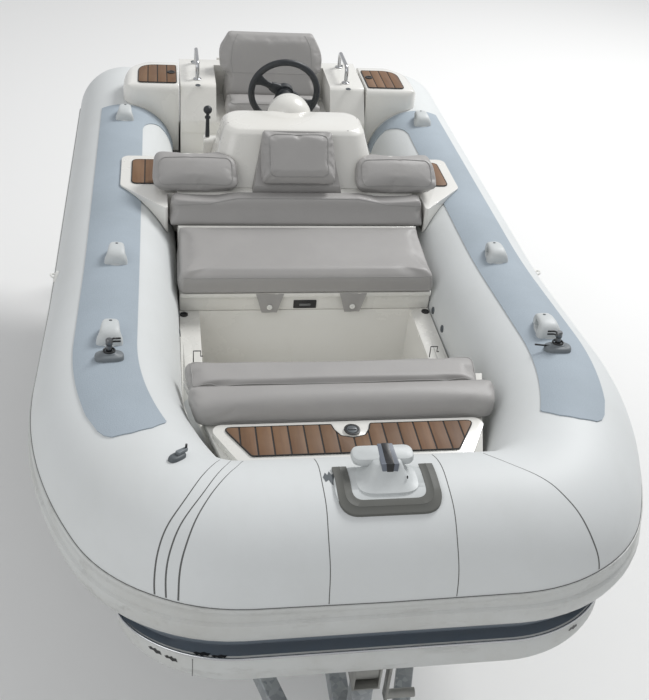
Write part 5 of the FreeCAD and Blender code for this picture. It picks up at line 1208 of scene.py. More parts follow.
# each cushion's closed seams as roundLoop takes them, then its open ones through (x, station, rise)
stitching = {
    "bench_cushion": ([], [[(-0.43, 1.3475, 0.140), (0.43, 1.3475, 0.140)]]),
    "bench_back": ([], [[(-0.44, 1.70, 0.218), (-0.285, 1.705, 0.222), (-0.215, 1.705, 0.243),
                         (0.215, 1.705, 0.243), (0.285, 1.705, 0.222), (0.44, 1.70, 0.218)],
                        [(-0.44, 1.676, 0.160), (0.44, 1.676, 0.160)]]),
    "centre_pad": ([(-0.104, 0.104, 0.020, 0.182, 0.030, upPad)], []),
    "side_pads": ([(side * 0.232, side * 0.488, 0.012, 0.096, 0.030, upWedge) for side in (1, -1)], []),
    "helm_seat": ([(-0.186, 0.186, 2.585, 2.712, 0.025, level(0.235))], []),
    "helm_back": ([], [[(side * 0.168, 2.745, 0.300), (side * 0.176, 2.765, 0.345),
                        (side * 0.170, 2.790, 0.400), (side * 0.146, 2.815, 0.462)] for side in (1, -1)]
                  + [[(-0.215, 2.750, 0.300), (0.215, 2.750, 0.300)]]),
    "bow_bolster": ([], [[(-0.385, 0.600, 0.176), (0.385, 0.600, 0.176)],
                         [(-0.395, 0.700, 0.226), (0.395, 0.700, 0.226)]]),
    "bow_cushion": ([(-0.408, 0.408, 0.716, 0.832, 0.020, level(0.205))], []),
}
for node, (loops, lines) in stitching.items():
    cushionSeams(node, [roundLoop(*loop) for loop in loops], lines)
print("seams laid")


# Small fittings


def disc(name, radius, thick, centre, axis, finish, hollow=0.0, steps=28):
    # a round boss with a softened rim, and a dished middle when hollow
    soft = min(thick, radius) * 0.35
    outline = [(0, 0), (radius, 0), (radius, thick - soft), (radius - soft * 0.3, thick - soft * 0.3),
               (radius - soft, thick)]
    if hollow:
        outline += [(hollow + soft, thick), (hollow, thick - soft), (hollow * 0.96, thick * 0.4),
                    (0, thick * 0.4)]
    else:
        outline += [(0, thick * 1.04)]
    return lathe(name, outline, centre, axis, finish, steps, 40)


def squircle(halfX, halfY, steps, power):
    # a closed round outline, squarer with a smaller power
    points = []
    for k in range(steps):
        turn = 2 * math.pi * k / steps
        c, s = math.cos(turn), math.sin(turn)
        points.append((halfX * math.copysign(abs(c) ** power, c), halfY * math.copysign(abs(s) ** power, s)))
    return points


latch = {
    "station": 0.542, "rise": 0.1866, "ring": 0.0215, "ringHigh": 0.0022, "hollow": 0.0150, "knob": 0.0142,
    "knobHigh": 0.0026, "bar": oblong(-0.011, 0.011, 0.5385, 0.5455), "barLow": 0.0022, "barHigh": 0.0052,
}
# flat caps on both sides: (x, station, rise, radius, thickness, hollow, finish)
deckCaps = {
    "ledgeCap": (0.4105, 1.352, -0.0055, 0.0135, 0.0040, 0.0080, "black"),
    "podCap": (0.4320, 2.742, 0.2962, 0.0165, 0.0035, 0.0105, "black"),
}
hatchCaps = {
    "hatchCapFront": (0.322, 2.628, 0.2852, 0.0110, 0.0030, 0.0060, "greyDark"),
    "hatchCapAft": (0.332, 2.905, 0.2852, 0.0110, 0.0030, 0.0060, "greyDark"),
}
tubeBoss = {"stations": (1.322, 1.200), "degrees": 176, "radius": 0.0125, "thick": 0.004, "hollow": 0.007,
            "sunk": 0.0005}
slam = {
    "plate": rounded(oblong(-0.046, 0.032, 0.004, 0.036), 0.004),
    "tongue": rounded(oblong(-0.026, 0.012, 0.014, 0.024), 0.003),
    "back": 1.3715, "face": 1.3690, "front": 1.3672,
}


def capsOf(table, side):
    return [disc("%s%d" % (name, side), radius, thick, at(side * x, y, z), (0, 0, 1), finish, hollow)
            for name, (x, y, z, radius, thick, hollow, finish) in table.items()]


def uprightPlate(name, outline, back, front, finish, bevel):
    # corners of (x, rise) between two stations
    rows = [[at(x, station, z) for x, z in outline] for station in (back, front)]
    return bevelled(outward(gridPiece(name, rows, finish, loop=True, ends=True)), bevel, 2)


def lidLatch():
    c = latch
    centre = at(0, c["station"], c["rise"])
    ring = disc("latchRing", c["ring"], c["ringHigh"], centre, (0, 0, 1), "black", c["hollow"])
    knob = disc("latchKnob", c["knob"], c["knobHigh"], centre, (0, 0, 1), "greyDark")
    bar = prismOf("latchBar", rounded(c["bar"], 0.003), c["rise"] + c["barLow"], c["rise"] + c["barHigh"],
                  "darkMetal", 0.001)
    settle(joinPieces("lidLatch", [ring, knob, bar]), "bow_lid", "grey_fitting")


def deckFittings():
    c = tubeBoss
    done = []
    for side in (1, -1):
        done += capsOf(deckCaps, side)
        for k, station in enumerate(c["stations"]):
            distance = distanceAt(station)
            where = onTube(distance, c["degrees"], -c["sunk"])
            facing = (onTube(distance, c["degrees"], 0.05) - where).normalized()
            boss = disc("tubeBoss%d%d" % (side, k), c["radius"], c["thick"], where, facing, "greyDark",
                        c["hollow"])
            if side < 0:
                boss.data.transform(Matrix.Scale(-1, 4, (1, 0, 0)))
                boss.data.flip_normals()
            done.append(boss)
    done.append(uprightPlate("slamPlate", slam["plate"], slam["back"], slam["face"], "black", 0.0007))
    done.append(uprightPlate("slamTongue", slam["tongue"], slam["face"], slam["front"], "darkMetal", 0.0005))
    settle(joinPieces("deckFittings", done), "boat", "grey_fitting")
    settle(joinPieces("hatchCaps", capsOf(hatchCaps, 1) + capsOf(hatchCaps, -1)), "hatch", "grey_fitting")


tab = {
    "middles": {"Starboard": -0.128, "Port": 0.153}, "half": 0.0465, "taper": 0.021, "front": 1.3590,
    "top": 0.0690, "drop": 0.071, "thick": 0.0014,
    "studPlace": (1.3535, 0.020), "stud": 0.0095, "studHigh": 0.003, "studHollow": 0.003,
}


def benchTabs():
    # two short fabric tabs with press studs hang from the cushion's front
    c = tab
    for word, middle in c["middles"].items():
        rows = []
        for k in range(13):
            t = k / 12
            half = c["half"] - c["taper"] * t
            y = c["front"] - 0.006 * math.sin(t * 1.5) + 0.001 * t
            z = c["top"] - c["drop"] * t
            rows.append([at(middle + half * (j / 8 - 1), y - 0.0012 * math.sin(j * 0.4), z)
                         for j in range(17)])
        back = [[p + Vector((0, c["thick"], 0)) for p in row] for row in rows]
        loop = [row + other[::-1] for row, other in zip(rows, back)]
        strip = outward(gridPiece("benchTab" + word, loop, "vinyl", loop=True, ends=True, angle=50))
        settle(strip, "bench_seat", "vinyl")
        stud = disc("benchStud" + word, c["stud"], c["studHigh"], at(middle, *c["studPlace"]), (0, -1, 0),
                    "studWhite", c["studHollow"])
        settle(stud, "bench_seat", "fitting")


band = {
    "outer": [(-0.107, 0.264), (-0.107, 0.128), (0.127, 0.128), (0.127, 0.264)], "outerRadius": 0.046,
    "inner": [(-0.074, 0.264), (-0.074, 0.160), (0.094, 0.160), (0.094, 0.264)], "innerRadius": 0.026,
    # across the band: (share, height off the tube)
    "section": [(0, 0.0005), (0, 0.0068), (0.12, 0.0072), (0.46, 0.0072), (0.5, 0.0082), (0.54, 0.0072),
                (0.88, 0.0072), (1, 0.0068), (1, 0.0055)],
}


def quartered(points):
    shares = (0, 0.25, 0.5, 0.75)
    finer = [tuple(Vector(a).lerp(Vector(b), t)) for a, b in zip(points, points[1:]) for t in shares]
    return finer + [points[-1]]


def cleatBorder():
    # a rounded band round the mooring head's foot, following the tube's crown
    bowStation = collar["tube"] + collar["strake"]
    crown = collarFrame(collarHalf)[0].z - axisZ

    def skin(x, y, lift):
        across = y - bowStation
        return at(x, y, crown + math.sqrt((collar["tube"] + lift) ** 2 - across * across))
    outer = quartered(rounded(band["outer"], [0, band["outerRadius"], band["outerRadius"], 0], 10))
    inner = quartered(rounded(band["inner"], [0, band["innerRadius"], band["innerRadius"], 0], 10))
    rows = [[skin(ax + (bx - ax) * t, ay + (by - ay) * t, lift) for t, lift in band["section"]]
            for (ax, ay), (bx, by) in zip(outer, inner)]
    settle(outward(gridPiece("cleatBand", rows, "band", angle=40)), "boat", "fitting")


lidLatch()
deckFittings()
benchTabs()
cleatBorder()
print("fittings placed")


# Pieces that sit on the collar


def seatOn(distance, degrees, side=1, height=0.0):
    # a frame on the tube: x across it, y aft along it, z straight out
    point, ahead, out, up = collarFrame(distance)
    turn = math.radians(degrees)
    normal = out * math.cos(turn) + up * math.sin(turn)
    across = ahead.cross(normal)
    seat = Matrix((across, -ahead, normal)).transposed().to_4x4()
    seat.translation = point + normal * (collar["tube"] + height)
    return Matrix.Scale(-1, 4, (1, 0, 0)) @ seat if side < 0 else seat


def moved(thing, seat):
    thing.data.transform(seat)
    return outward(thing)


def slab(name, outline, low, high, finish, bevel, seat=Matrix()):
    # a flat outline between two heights, put on a frame
    rows = [[(x, y, z) for x, y in outline] for z in (low, high)]
    thing = outward(gridPiece(name, rows, finish, loop=True, ends=True, angle=35))
    return moved(bevelled(thing, bevel, 2), seat)


def domed(name, halfX, halfY, rings, finish, power=2 / 2.6):
    # rings of one round outline: (share of the outline, height)
    rows = [[(x, y, height) for x, y in squircle(share * halfX, share * halfY, 40, power)]
            for share, height in rings]
    return gridPiece(name, rows, finish, loop=True, angle=50)


def turned(name, outline, finish, steps, centre=(0, 0, 0), down=False):
    return lathe(name, outline, centre, (0, 0, -1 if down else 1), finish, steps)


handle = {
    "half": 0.052, "high": 0.046, "hole": 0.026, "holeLow": 0.010, "holeHigh": 0.024, "flare": 0.004,
    "broad": 0.032, "narrow": 0.017, "sunk": 0.005, "degrees": 93, "stations": (0.853, 1.355, 2.480),
    # round the strap's section: (share of the half width, share from the inner to the outer line)
    "section": [(-1, 0), (-1, 0.45), (-0.93, 0.74), (-0.74, 0.93), (-0.4, 1), (0, 1.02), (0.4, 1),
                (0.74, 0.93), (0.93, 0.74), (1, 0.45), (1, 0), (0.5, -0.03), (-0.5, -0.03)],
    # the foot: (share of the outline, height)
    "flange": [(1.0, -0.004), (1.0, 0.0012), (0.95, 0.0026), (0.80, 0.0032), (0.1, 0.0036)],
    # the small hole in the hood is a dark grey dished disc: painted shade
    "holeShadeDot": 0.0045, "holeShadeDotPlace": (0, 0.0156, 0.0402),
}


def hoodedHandle(name):
    # a strap arched over its opening, broad forward and narrow at the aft foot
    c = handle
    rows = []
    steps = 26
    for k in range(steps + 1):
        t = math.pi * k / steps
        ahead = math.cos(t)
        up = max(math.sin(t), 0.0)
        outer = Vector((-c["half"] * math.copysign(abs(ahead) ** 0.8, ahead),
                        c["high"] * up ** 0.62 - c["sunk"]))
        inner = Vector((-c["hole"] * math.copysign(abs(ahead) ** 0.7, ahead),
                        c["holeHigh"] * up ** 0.5 + c["holeLow"] * up - c["sunk"]))
        half = c["broad"] + (c["narrow"] - c["broad"]) * k / steps + c["flare"] * ahead ** 6
        rows.append([(across * half, *inner.lerp(outer, lift)) for across, lift in c["section"]])
    arch = gridPiece(name + "Arch", rows, "fitting", loop=True, ends=True, angle=50)
    flange = []
    for share, height in c["flange"]:
        row = []
        for k in range(40):
            turn = 2 * math.pi * k / 40
            y = share * 1.12 * c["half"] * math.sin(turn)
            half = c["broad"] * (1.16 - 0.42 * (y / c["half"] + 1) / 2)
            x = share * half * math.cos(turn)
            row.append((x, y, height - x * x / (2 * collar["tube"])))
        flange.append(row)
    plate = gridPiece(name + "Flange", flange, "fitting", loop=True, angle=50)
    # painted shade: a dark grey disc stands for the hood's small hole
    holeShadeDot = disc(name + "Drain", c["holeShadeDot"], 0.0012, c["holeShadeDotPlace"], (0, 0.12, 0.99), "greyDark", 0.002, 16)
    return [arch, plate, holeShadeDot]


def grabHandles():
    done = []
    for side in (1, -1):
        for k, station in enumerate(handle["stations"]):
            seat = seatOn(distanceAt(station), handle["degrees"], side, patches["thick"])
            done += [moved(part, seat) for part in hoodedHandle("handle%d%d" % (side, k))]
    settle(joinPieces("grabHandles", done), "boat", "fitting", ["grab_handles"])


rowlock = {
    "station": 0.740, "degrees": 92, "halfX": 0.038, "halfY": 0.025, "centre": (0, 0.006, 0), "rod": 0.0026,
    "pad": [(1, -0.006), (1, 0.005), (0.96, 0.009), (0.84, 0.0115), (0.52, 0.013), (0.47, 0.0155),
            (0.40, 0.0165), (0.02, 0.0165)],
    "ring": [(0.0125, 0.0155), (0.0165, 0.0155), (0.0165, 0.0195), (0.0145, 0.0215), (0.0125, 0.0200),
             (0.0125, 0.0155)],
    "post": [(0, 0.014), (0.0085, 0.014), (0.0075, 0.034), (0.0095, 0.037), (0.0095, 0.050), (0.0075, 0.053),
             (0, 0.053)],
    "prongs": (0.040, 0.049), "pin": [(0.024, 0.000, 0.010), (0.066, 0.002, 0.013)],
}


def rowlockPair():
    c = rowlock
    done = []
    for side in (1, -1):
        seat = seatOn(distanceAt(c["station"]), c["degrees"], side, patches["thick"])
        parts = [domed("lockPad", c["halfX"], c["halfY"], c["pad"], "grey_fitting"),
                 turned("lockRing", c["ring"], "black", 28, c["centre"]),
                 turned("lockPost", c["post"], "darkMetal", 24, c["centre"])]
        for high in c["prongs"]:
            line = [(0, 0.006, high), (0.012, 0.014, high), (0.030, 0.017, high - 0.002)]
            parts.append(rodAlong("lockProng", line, c["rod"], "black"))
        if side > 0:
            parts.append(rodAlong("lockPin", c["pin"], c["rod"], "black"))
        done += [moved(part, seat) for part in parts]
    settle(joinPieces("rowlockPair", done), "boat", "grey_fitting", ["rowlocks"])


eye = {
    "station": 1.450, "degrees": 24, "half": 0.020,
    "loop": 0.0115, "foot": 0.006, "high": 0.0135, "rod": 0.0036,
    "pad": [(1, -0.004), (1, 0.003), (0.9, 0.006), (0.5, 0.0075), (0.02, 0.0078)],
}
valve = {
    "distance": 0.491, "degrees": 97, "turn": 2, "halfX": 0.024, "halfY": 0.013,
    "pad": [(1, -0.004), (1, 0.004), (0.9, 0.0075), (0.6, 0.009), (0.02, 0.0095)],
    "tab": rounded([(-0.002, -0.0065), (0.030, -0.0045), (0.030, 0.0045), (-0.002, 0.0065)], 0.003),
    "tabLow": 0.008, "tabHigh": 0.017, "lugPlace": (0.027, 0, 0),
    "lug": [(0, 0.012), (0.003, 0.012), (0.0026, 0.026), (0, 0.027)],
}


def tubeFittings():
    c = eye
    done = []
    bend = [math.pi * k / 12 for k in range(13)]
    loop = [(0, c["loop"] * math.cos(t), c["foot"] + c["high"] * math.sin(t)) for t in bend]
    for side in (1, -1):
        seat = seatOn(distanceAt(c["station"]), c["degrees"], side)
        pad = domed("eyePad", c["half"], c["half"], c["pad"], "studWhite", 1.0)
        done += [moved(pad, seat), moved(rodAlong("eyeLoop", loop, c["rod"], "studWhite"), seat)]
    c = valve
    turn = Matrix.Rotation(math.radians(c["turn"]), 4, "Z")
    seat = seatOn(collarHalf - c["distance"], c["degrees"], -1) @ turn
    parts = [domed("valvePad", c["halfX"], c["halfY"], c["pad"], "greyDark"),
             slab("valveTab", c["tab"], c["tabLow"], c["tabHigh"], "grey_fitting", 0.0015),
             turned("valveLug", c["lug"], "black", 16, c["lugPlace"])]
    done += [moved(part, seat) for part in parts]
    settle(joinPieces("tubeFittings", done), "boat", "grey_fitting", ["tube_fittings"])


cleat = {
    "offset": 0.010, "plateTop": 0.0066,
    # the neck's levels: (half width, front, aft, height)
    "neck": [(0.074, 0.168, 0.262, -0.012), (0.070, 0.170, 0.262, 0.006), (0.060, 0.176, 0.262, 0.0085),
             (0.050, 0.186, 0.262, 0.014), (0.041, 0.199, 0.263, 0.024), (0.037, 0.210, 0.264, 0.034),
             (0.034, 0.216, 0.265, 0.041), (0.030, 0.221, 0.263, 0.0445), (0.0005, 0.235, 0.255, 0.0455)],
    "horns": rounded(oblong(-0.077, 0.067, 0.2345, 0.2860), 0.0235), "hornsLow": 0.024, "hornsHigh": 0.0475,
    # the liner's leaning front, and the slot in it, which is a black slab as painted shade
    "lean": 68, "leanPlace": (0.004, 0.2085, 0.0240),
    "front": rounded([(-0.013, -0.021), (0.013, -0.021), (0.021, 0.027), (-0.021, 0.027)],
                     [0.006, 0.006, 0.002, 0.002]),
    "frontSlot": rounded([(-0.0045, -0.014), (0.0045, -0.014), (0.0095, 0.027), (-0.0095, 0.027)],
                         [0.003, 0.003, 0.001, 0.001]),
    "top": rounded([(-0.017, 0.2200), (0.025, 0.2200), (0.022, 0.2860), (-0.014, 0.2860)], 0.003),
    "topSlot": rounded([(-0.0055, 0.2195), (0.0135, 0.2195), (0.0125, 0.2865), (-0.0045, 0.2865)], 0.002),
    # the hole is a black dished disc: painted shade in the hole
    "hole": 0.0036, "holePlace": (0.042, 0.200, 0.0230), "holeFacing": (0.75, -0.45, 0.45),
}


def mooringHead():
    # the plate comes from the CAD node, cut level; neck and head are drawn here
    c = cleat
    crown = collarFrame(collarHalf)[0].z + collar["tube"] - axisZ
    plate = ownMesh("bow_cleat", "cleatPlate")
    made = bmesh.new()
    made.from_mesh(plate.data)
    bmesh.ops.bisect_plane(made, geom=made.verts[:] + made.edges[:] + made.faces[:],
                           plane_co=at(0, 0, crown + c["plateTop"]), plane_no=(0, 0, 1), clear_outer=True)
    bmesh.ops.holes_fill(made, edges=[e for e in made.edges if e.is_boundary])
    made.to_mesh(plate.data)
    made.free()
    plate.data.materials.append(finishes["fitting"])
    soften(plate, 32)
    base = at(c["offset"], 0, crown)
    rows = []
    for half, front, aft, z in c["neck"]:
        rows.append([base + Vector((x, (front + aft) / 2 + y, z))
                     for x, y in squircle(half, (aft - front) / 2, 48, 0.55)])
    neck = outward(gridPiece("cleatNeck", rows, "fitting", loop=True, angle=50))
    seat = Matrix.Translation(base)
    lean = seat @ Matrix.Translation(c["leanPlace"]) @ Matrix.Rotation(math.radians(c["lean"]), 4, "X")
    parts = [plate, neck,
             slab("cleatHorns", c["horns"], c["hornsLow"], c["hornsHigh"], "fitting", 0.009, seat),
             slab("cleatLinerFront", c["front"], -0.008, 0.0025, "liner", 0.002, lean),
             # the slots are black slabs on the liner: painted shade in the slot
             slab("cleatSlotFront", c["frontSlot"], -0.006, 0.0032, "black", 0.001, lean),
             slab("cleatLinerTop", c["top"], 0.040, 0.0482, "liner", 0.0015, seat),
             slab("cleatSlotTop", c["topSlot"], 0.042, 0.0487, "black", 0.0005, seat),
             # a black disc as painted shade for the hole in the neck
             disc("cleatHole", c["hole"], 0.001, base + Vector(c["holePlace"]), c["holeFacing"], "black",
                  0.002, 14)]
    settle(joinPieces("mooringHead", parts), "boat", "fitting", ["bow_cleat"])


wheel = {
    "rim": 0.129, "swell": 0.012825, "rake": 8, "turned": 27, "station": 2.290, "rise": 0.400,
    "spokes": (0, 180, 270),
    "boss": [(0, -0.015), (0.036, -0.015), (0.036, 0.010), (0.032, 0.015), (0.024, 0.018), (0, 0.019)],
    "back": [(0, 0.0), (0.030, 0.0), (0.028, 0.021), (0.022, 0.026), (0, 0.027)],
    # along a spoke: (reach, half width, half depth)
    "root": [(0.020, 0.024, 0.0120), (0.046, 0.0215, 0.0115), (0.062, 0.0165, 0.0100)],
    "arm": [(0.058, 0.0140, 0.0080), (0.080, 0.0130, 0.0075), (0.100, 0.0165, 0.0080),
            (0.117, 0.0250, 0.0100), (0.128, 0.0330, 0.0105)],
}


def helmWheel():
    # a thick rim, three flared spokes with a sleeve, and a boss
    c = wheel
    facing = Matrix.Rotation(math.radians(c["rake"] - 90), 4, "X") @ Matrix.Rotation(math.pi, 4, "Z")
    seat = Matrix.Translation(at(0, c["station"], c["rise"])) @ facing
    section = squircle(c["swell"], c["swell"], 16, 1.0)
    rows = []
    for k in range(121):
        turn = 2 * math.pi * k / 120
        ahead, across = math.cos(turn), math.sin(turn)
        rows.append([((c["rim"] + x) * ahead, (c["rim"] + x) * across, z) for x, z in section])
    parts = [gridPiece("wheelRim", rows, "dark_grip", loop=True, angle=60),
             turned("wheelBoss", c["boss"], "dark_grip", 40),
             turned("wheelBossBack", c["back"], "dark_grip", 40, down=True)]
    for k, degrees in enumerate(c["spokes"]):
        turn = Matrix.Rotation(math.radians(degrees + c["turned"]), 4, "Z")
        for word in ("root", "arm"):
            rows = [[(reach, y, z) for y, z in squircle(half, deep, 20, 0.7)]
                    for reach, half, deep in c[word]]
            part = gridPiece("%sSpoke%d" % (word, k), rows, "dark_grip", loop=True, ends=True, angle=50)
            parts.append(moved(part, turn))
    settle(joinPieces("helmWheel", [moved(part, seat) for part in parts]), "steering", "dark_grip",
           ["steering_wheel"])


cowl = {
    "dome": [(0.026, 0.100), (0.034, 0.101), (0.052, 0.108), (0.068, 0.122), (0.079, 0.145), (0.084, 0.172),
             (0.083, 0.195), (0.076, 0.218), (0.060, 0.240), (0.034, 0.256), (0, 0.261)],
    "shaft": [(0, 0.0165), (0.024, 0.0165), (0.026, 0.030), (0.026, 0.104), (0, 0.104)],
}


def dashCowl():
    # a round cowl in front of the hub, with the shaft between them
    rake = math.radians(wheel["rake"])
    hub = at(0, wheel["station"], wheel["rise"])
    axis = (0, -math.cos(rake), -math.sin(rake))
    parts = [lathe("cowlDome", cowl["dome"], hub, axis, "moulding", 56, 60),
             lathe("cowlShaft", cowl["shaft"], hub, axis, "dark_grip", 32)]
    settle(joinPieces("dashCowl", parts), "boat", "moulding", ["dash_column"])


marks = {
    "ragged": [(-1, -0.5), (-0.75, 0.5), (-0.35, 0.35), (-0.1, 0.8), (0.3, 0.3), (0.55, 0.65), (1, 0.1),
               (0.7, -0.4), (0.2, -0.2), (-0.2, -0.75), (-0.6, -0.45)],
    # on the lip's top: (distance, reach, half length, half width)
    "top": [(0.340, 0.176, 0.010, 0.007), (0.362, 0.174, 0.011, 0.009)],
    # on its face: (distance, rise, half length, half height)
    "face": [(0.400, -0.176, 0.009, 0.011), (0.423, -0.172, 0.010, 0.012), (-0.405, -0.170, 0.009, 0.011)],
    # by the bow seam: (distance, degrees, height, half length, half turn, finish)
    "peel": [(0.1165, 88, 0.0008, 0.0150, 8.5, "greyDark"), (0.1050, 82, 0.0009, 0.0080, 3.2, "seam")],
    "joint": 0.372, "jointRises": (-0.158, -0.214), "jointWide": 0.0007, "dirtUp": 0.15, "dirtWide": 0.0009,
}


def wornSpots():
    # black showing through on the lip, a lifted edge by the bow seam, and dirt along the strake
    spots = []

    def lay(name, place, sizeX, sizeY, finish):
        rows = [[place(sizeX * x * k, sizeY * y * k) for x, y in marks["ragged"]] for k in (1, 0.6, 0.02)]
        spots.append(gridPiece(name, rows, finish, loop=True, angle=60))
    for middle, reach, sizeX, sizeY in marks["top"]:
        lay("lipTopSpot", lambda x, y: onLip(collarHalf + middle + x, reach + y, lip["top"] + 0.0016),
            sizeX, sizeY, "black")
    for middle, rise, sizeX, sizeY in marks["face"]:
        lay("lipFaceSpot", lambda x, y: onLip(collarHalf + middle + x, lip["reach"] + 0.0008, rise + y),
            sizeX, sizeY, "black")
    for middle, degrees, height, sizeX, sizeY, finish in marks["peel"]:
        lay("peelSpot", lambda x, y: onTube(collarHalf + middle + x, degrees + y, height),
            sizeX, sizeY, finish)
    joint = [onLip(collarHalf + marks["joint"], lip["reach"] + 0.0004, rise)
             for rise in np.linspace(*marks["jointRises"], 8)]
    spots.append(rodAlong("lipJoint", joint, marks["jointWide"], "seam", resolution=1))
    begin = distanceAt(strake["aft"])
    line = [onTube(s, strakeTop(s) + marks["dirtUp"], 0.0004)
            for s in np.linspace(begin, 2 * collarHalf - begin, 420)]
    spots.append(rodAlong("strakeDirt", line, marks["dirtWide"], "seam", resolution=1))
    settle(joinPieces("wornSpots", spots), "boat", "collar")


hook = {
    "places": {"Starboard": -0.388, "Port": 0.286}, "rod": 0.0016,
    "bend": [(-0.010, 0.840, 0.190), (-0.010, 0.842, 0.226), (-0.004, 0.842, 0.226), (0.010, 0.842, 0.226),
             (0.010, 0.842, 0.208), (0.016, 0.842, 0.208)],
}


def seatHooks():
    for word, middle in hook["places"].items():
        line = [at(middle + x, y, z) for x, y, z in hook["bend"]]
        settle(rodAlong("seatHook" + word, line, hook["rod"], "black", resolution=2), "boat", "grey_fitting")


grabHandles()
rowlockPair()
tubeFittings()
mooringHead()
helmWheel()
dashCowl()
wornSpots()
seatHooks()
print("pieces on the collar and helm placed")


# Tread blocks: Geometry Nodes rows of blocks round the tyre


def treadTree(material):
    g = Nodes("treadRow", [("Count", "NodeSocketInt", 56), ("Radius", "NodeSocketFloat", 0.24),
                           ("Along", "NodeSocketFloat", 0.019), ("Across", "NodeSocketFloat", 0.022),
                           ("Deep", "NodeSocketFloat", 0.010)])
    ring = g.node("GeometryNodeCurvePrimitiveCircle", None, {"Radius": g.given("Radius"), "Resolution": 128})
    spaced = g.node("GeometryNodeResampleCurve", None, {"Curve": ring.outputs[0], "Count": g.given("Count")})
    size = g.node("ShaderNodeCombineXYZ", None,
                  {0: g.given("Deep"), 1: g.given("Across"), 2: g.given("Along")})
    block = g.node("GeometryNodeMeshCube", None, {"Size": size.outputs[0]})
    tangent = g.node("GeometryNodeInputTangent")
    turn = g.node("FunctionNodeAlignEulerToVector", {"axis": "Z", "pivot_axis": "AUTO"},
                  {"Vector": tangent.outputs[0]})
    placed = g.node("GeometryNodeInputPosition")
    outwards = g.node("FunctionNodeAlignEulerToVector", {"axis": "X", "pivot_axis": "Z"},
                      {"Rotation": turn.outputs[0], "Vector": placed.outputs[0]})
    row = g.node("GeometryNodeInstanceOnPoints", None,
                 {"Points": spaced.outputs[0], "Instance": block.outputs[0], "Rotation": outwards.outputs[0]})
    g.finish(row.outputs[0], material)
    return g


treads = treadTree(finishes["tyre_rubber"])
tread = {
    "count": 54, "top": 0.2476, "deep": 0.010, "along": 0.0185, "bevel": 0.0012,
    # each row: (place across, width, share of half a pitch, how much lower)
    "rows": [(-0.0135, 0.0195, 0, 0.0), (0.0135, 0.0195, 1, 0.0), (-0.0405, 0.0205, 1, 0.0012),
             (0.0405, 0.0205, 0, 0.0012)],
}


def tyreTread(node):
    c = tread
    low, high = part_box(node)
    centre = (low + high) / 2
    stand = Matrix.Rotation(math.pi / 2, 4, "Y")
    done = []
    for k, (across, width, half, drop) in enumerate(c["rows"]):
        mesh = bpy.data.meshes.new("treadSeed")
        mesh.from_pydata([(0, 0, 0)], [], [])
        thing = grown(added("%sTread%d" % (node, k), mesh), treads,
                      {"Count": c["count"], "Radius": c["top"] - c["deep"] / 2 - drop, "Along": c["along"],
                       "Across": width, "Deep": c["deep"]})
        turn = Matrix.Rotation(math.pi / c["count"] * half, 4, "Z")
        thing.data.transform(Matrix.Translation(centre + Vector((across, 0, 0))) @ stand @ turn)
        done.append(bevelled(thing, c["bevel"], 1, 40))
    settle(joinPieces(node + "Tread", done), bodyOf(node), "tyre_rubber")


hub = {
    "circle": 0.046, "radius": 0.0095, "height": 0.010, "degrees": (45, 135, 225, 315), "face": 0.036,
    "cap": [(0, 0.0), (0.0152, 0.0), (0.0152, 0.030), (0.0138, 0.036), (0.009, 0.0395), (0, 0.0405)],
    "capFace": 0.0205,
}


def wheelHardware(node, side):
    c = hub
    low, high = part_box(node)
    centre = (low + high) / 2
    places = []
    for degrees in c["degrees"]:
        turn = math.radians(degrees)
        offset = Vector((c["face"] + c["height"] / 2, c["circle"] * math.cos(turn),
                         c["circle"] * math.sin(turn)))
        places.append((centre + offset * Vector((side, 1, 1)), (side, 0, 0)))
    nuts = boltHeads(node + "Nuts", places, c["radius"], c["height"], "winch_metal")
    settle(bevelled(nuts, 0.001, 2), bodyOf(node), "winch_metal")
    capPlace = centre + Vector((side * c["capFace"], 0, 0))
    cap = lathe(node + "Cap", c["cap"], capPlace, (side, 0, 0), "galvanised", 32, 30)
    settle(cap, bodyOf(node), "galvanised")


for node, rim, side in (("tyre_left", "rim_left", 1), ("tyre_right", "rim_right", -1)):
    tyreTread(node)
    wheelHardware(rim, side)

frameBolts = {
    "radius": 0.0095, "height": 0.006,
    # on both sides, standing up on the frame: (x, station, rise)
    "up": [(0.45, 1.168, -0.557), (0.45, 1.188, -0.557), (0.45, 2.030, -0.557), (0.45, 2.050, -0.557),
           (0.45, 2.826, -0.557), (0.45, 2.846, -0.557), (0.4785, 1.788, -0.595), (0.4785, 2.332, -0.595),
           (0.30, 2.905, -0.5725), (0.032, 0.070, -0.549), (0.032, 0.170, -0.549)],
    # and facing forward on the lamp board
    "ahead": [(0.58, 3.0285, -0.60), (0.70, 3.0285, -0.60)],
}


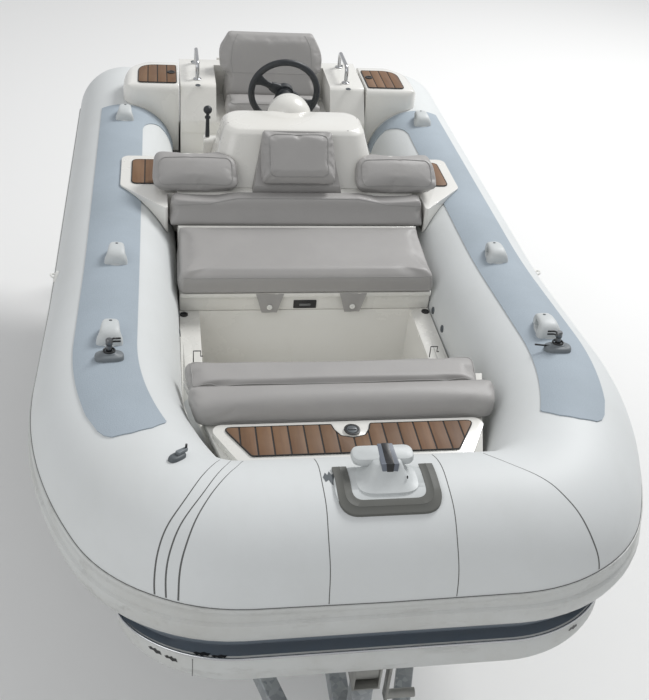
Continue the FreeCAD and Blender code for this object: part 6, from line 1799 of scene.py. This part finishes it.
def trailerBolts():
    places = []
    for key, facing in (("up", (0, 0, 1)), ("ahead", (0, -1, 0))):
        places += [(at(side * x, y, z), facing) for x, y, z in frameBolts[key] for side in (1, -1)]
    heads = boltHeads("trailerBolts", places, frameBolts["radius"], frameBolts["height"], "winch_metal")
    settle(bevelled(heads, 0.0008, 1), "boat", "winch_metal")


trailerBolts()
print("wheels and trailer fitted out")


# Stage


camera = {
    "place": (-0.48308, -2.60506, 2.81121),
    "right": (0.98651, -0.14135, 0.08257),
    "up": (0.01073, 0.55914, 0.82900),
    "lens": 50.62,
    "shift": -0.0667,
}


def makeCamera():
    lens = bpy.data.cameras.new("view")
    lens.lens = camera["lens"]
    lens.sensor_width = 36
    lens.shift_y = camera["shift"]
    lens.clip_end = 200
    right = Vector(camera["right"])
    up = Vector(camera["up"])
    turn = Matrix((right, up, right.cross(up))).transposed()
    eye = added("view", lens)
    eye.matrix_world = Matrix.Translation(camera["place"]) @ turn.to_4x4()
    bpy.context.scene.camera = eye


studio = {
    "floor": (0.80, 0.80, 0.79, 1), "floorRough": 0.9, "floorHalf": 40.0,
    "sky": (0.97, 0.98, 1.0, 1), "skyStrength": 0.55, "target": (0, 0, 0.8),
    # area lamps: (watts, size, place)
    "lamps": {"key": (520, 3.0, (4.5, 4.2, 7.0)), "fill": (110, 6.0, (-5.0, -4.0, 5.0))},
}


def makeStage():
    half = studio["floorHalf"]
    mesh = bpy.data.meshes.new("floor")
    mesh.from_pydata([(x, y, 0) for x, y in oblong(-half, half, -half, half)], [], [(0, 1, 2, 3)])
    paint = Finish("floorPaint").surface({"Base Color": studio["floor"], "Roughness": studio["floorRough"]})
    mesh.materials.append(paint)
    added("floor", mesh)
    world = bpy.data.worlds.new("studio")
    world.use_nodes = True
    background = world.node_tree.nodes["Background"]
    background.inputs["Color"].default_value = studio["sky"]
    background.inputs["Strength"].default_value = studio["skyStrength"]
    bpy.context.scene.world = world
    for word, (watts, size, place) in studio["lamps"].items():
        lamp = bpy.data.lights.new(word, "AREA")
        lamp.energy = watts
        lamp.shape = "DISK"
        lamp.size = size
        thing = added(word, lamp)
        thing.location = place
        thing.rotation_euler = (Vector(studio["target"]) - thing.location).to_track_quat("-Z", "Y").to_euler()


makeCamera()
makeStage()
bpy.context.scene.view_settings.view_transform = "Standard"
print("stage set")
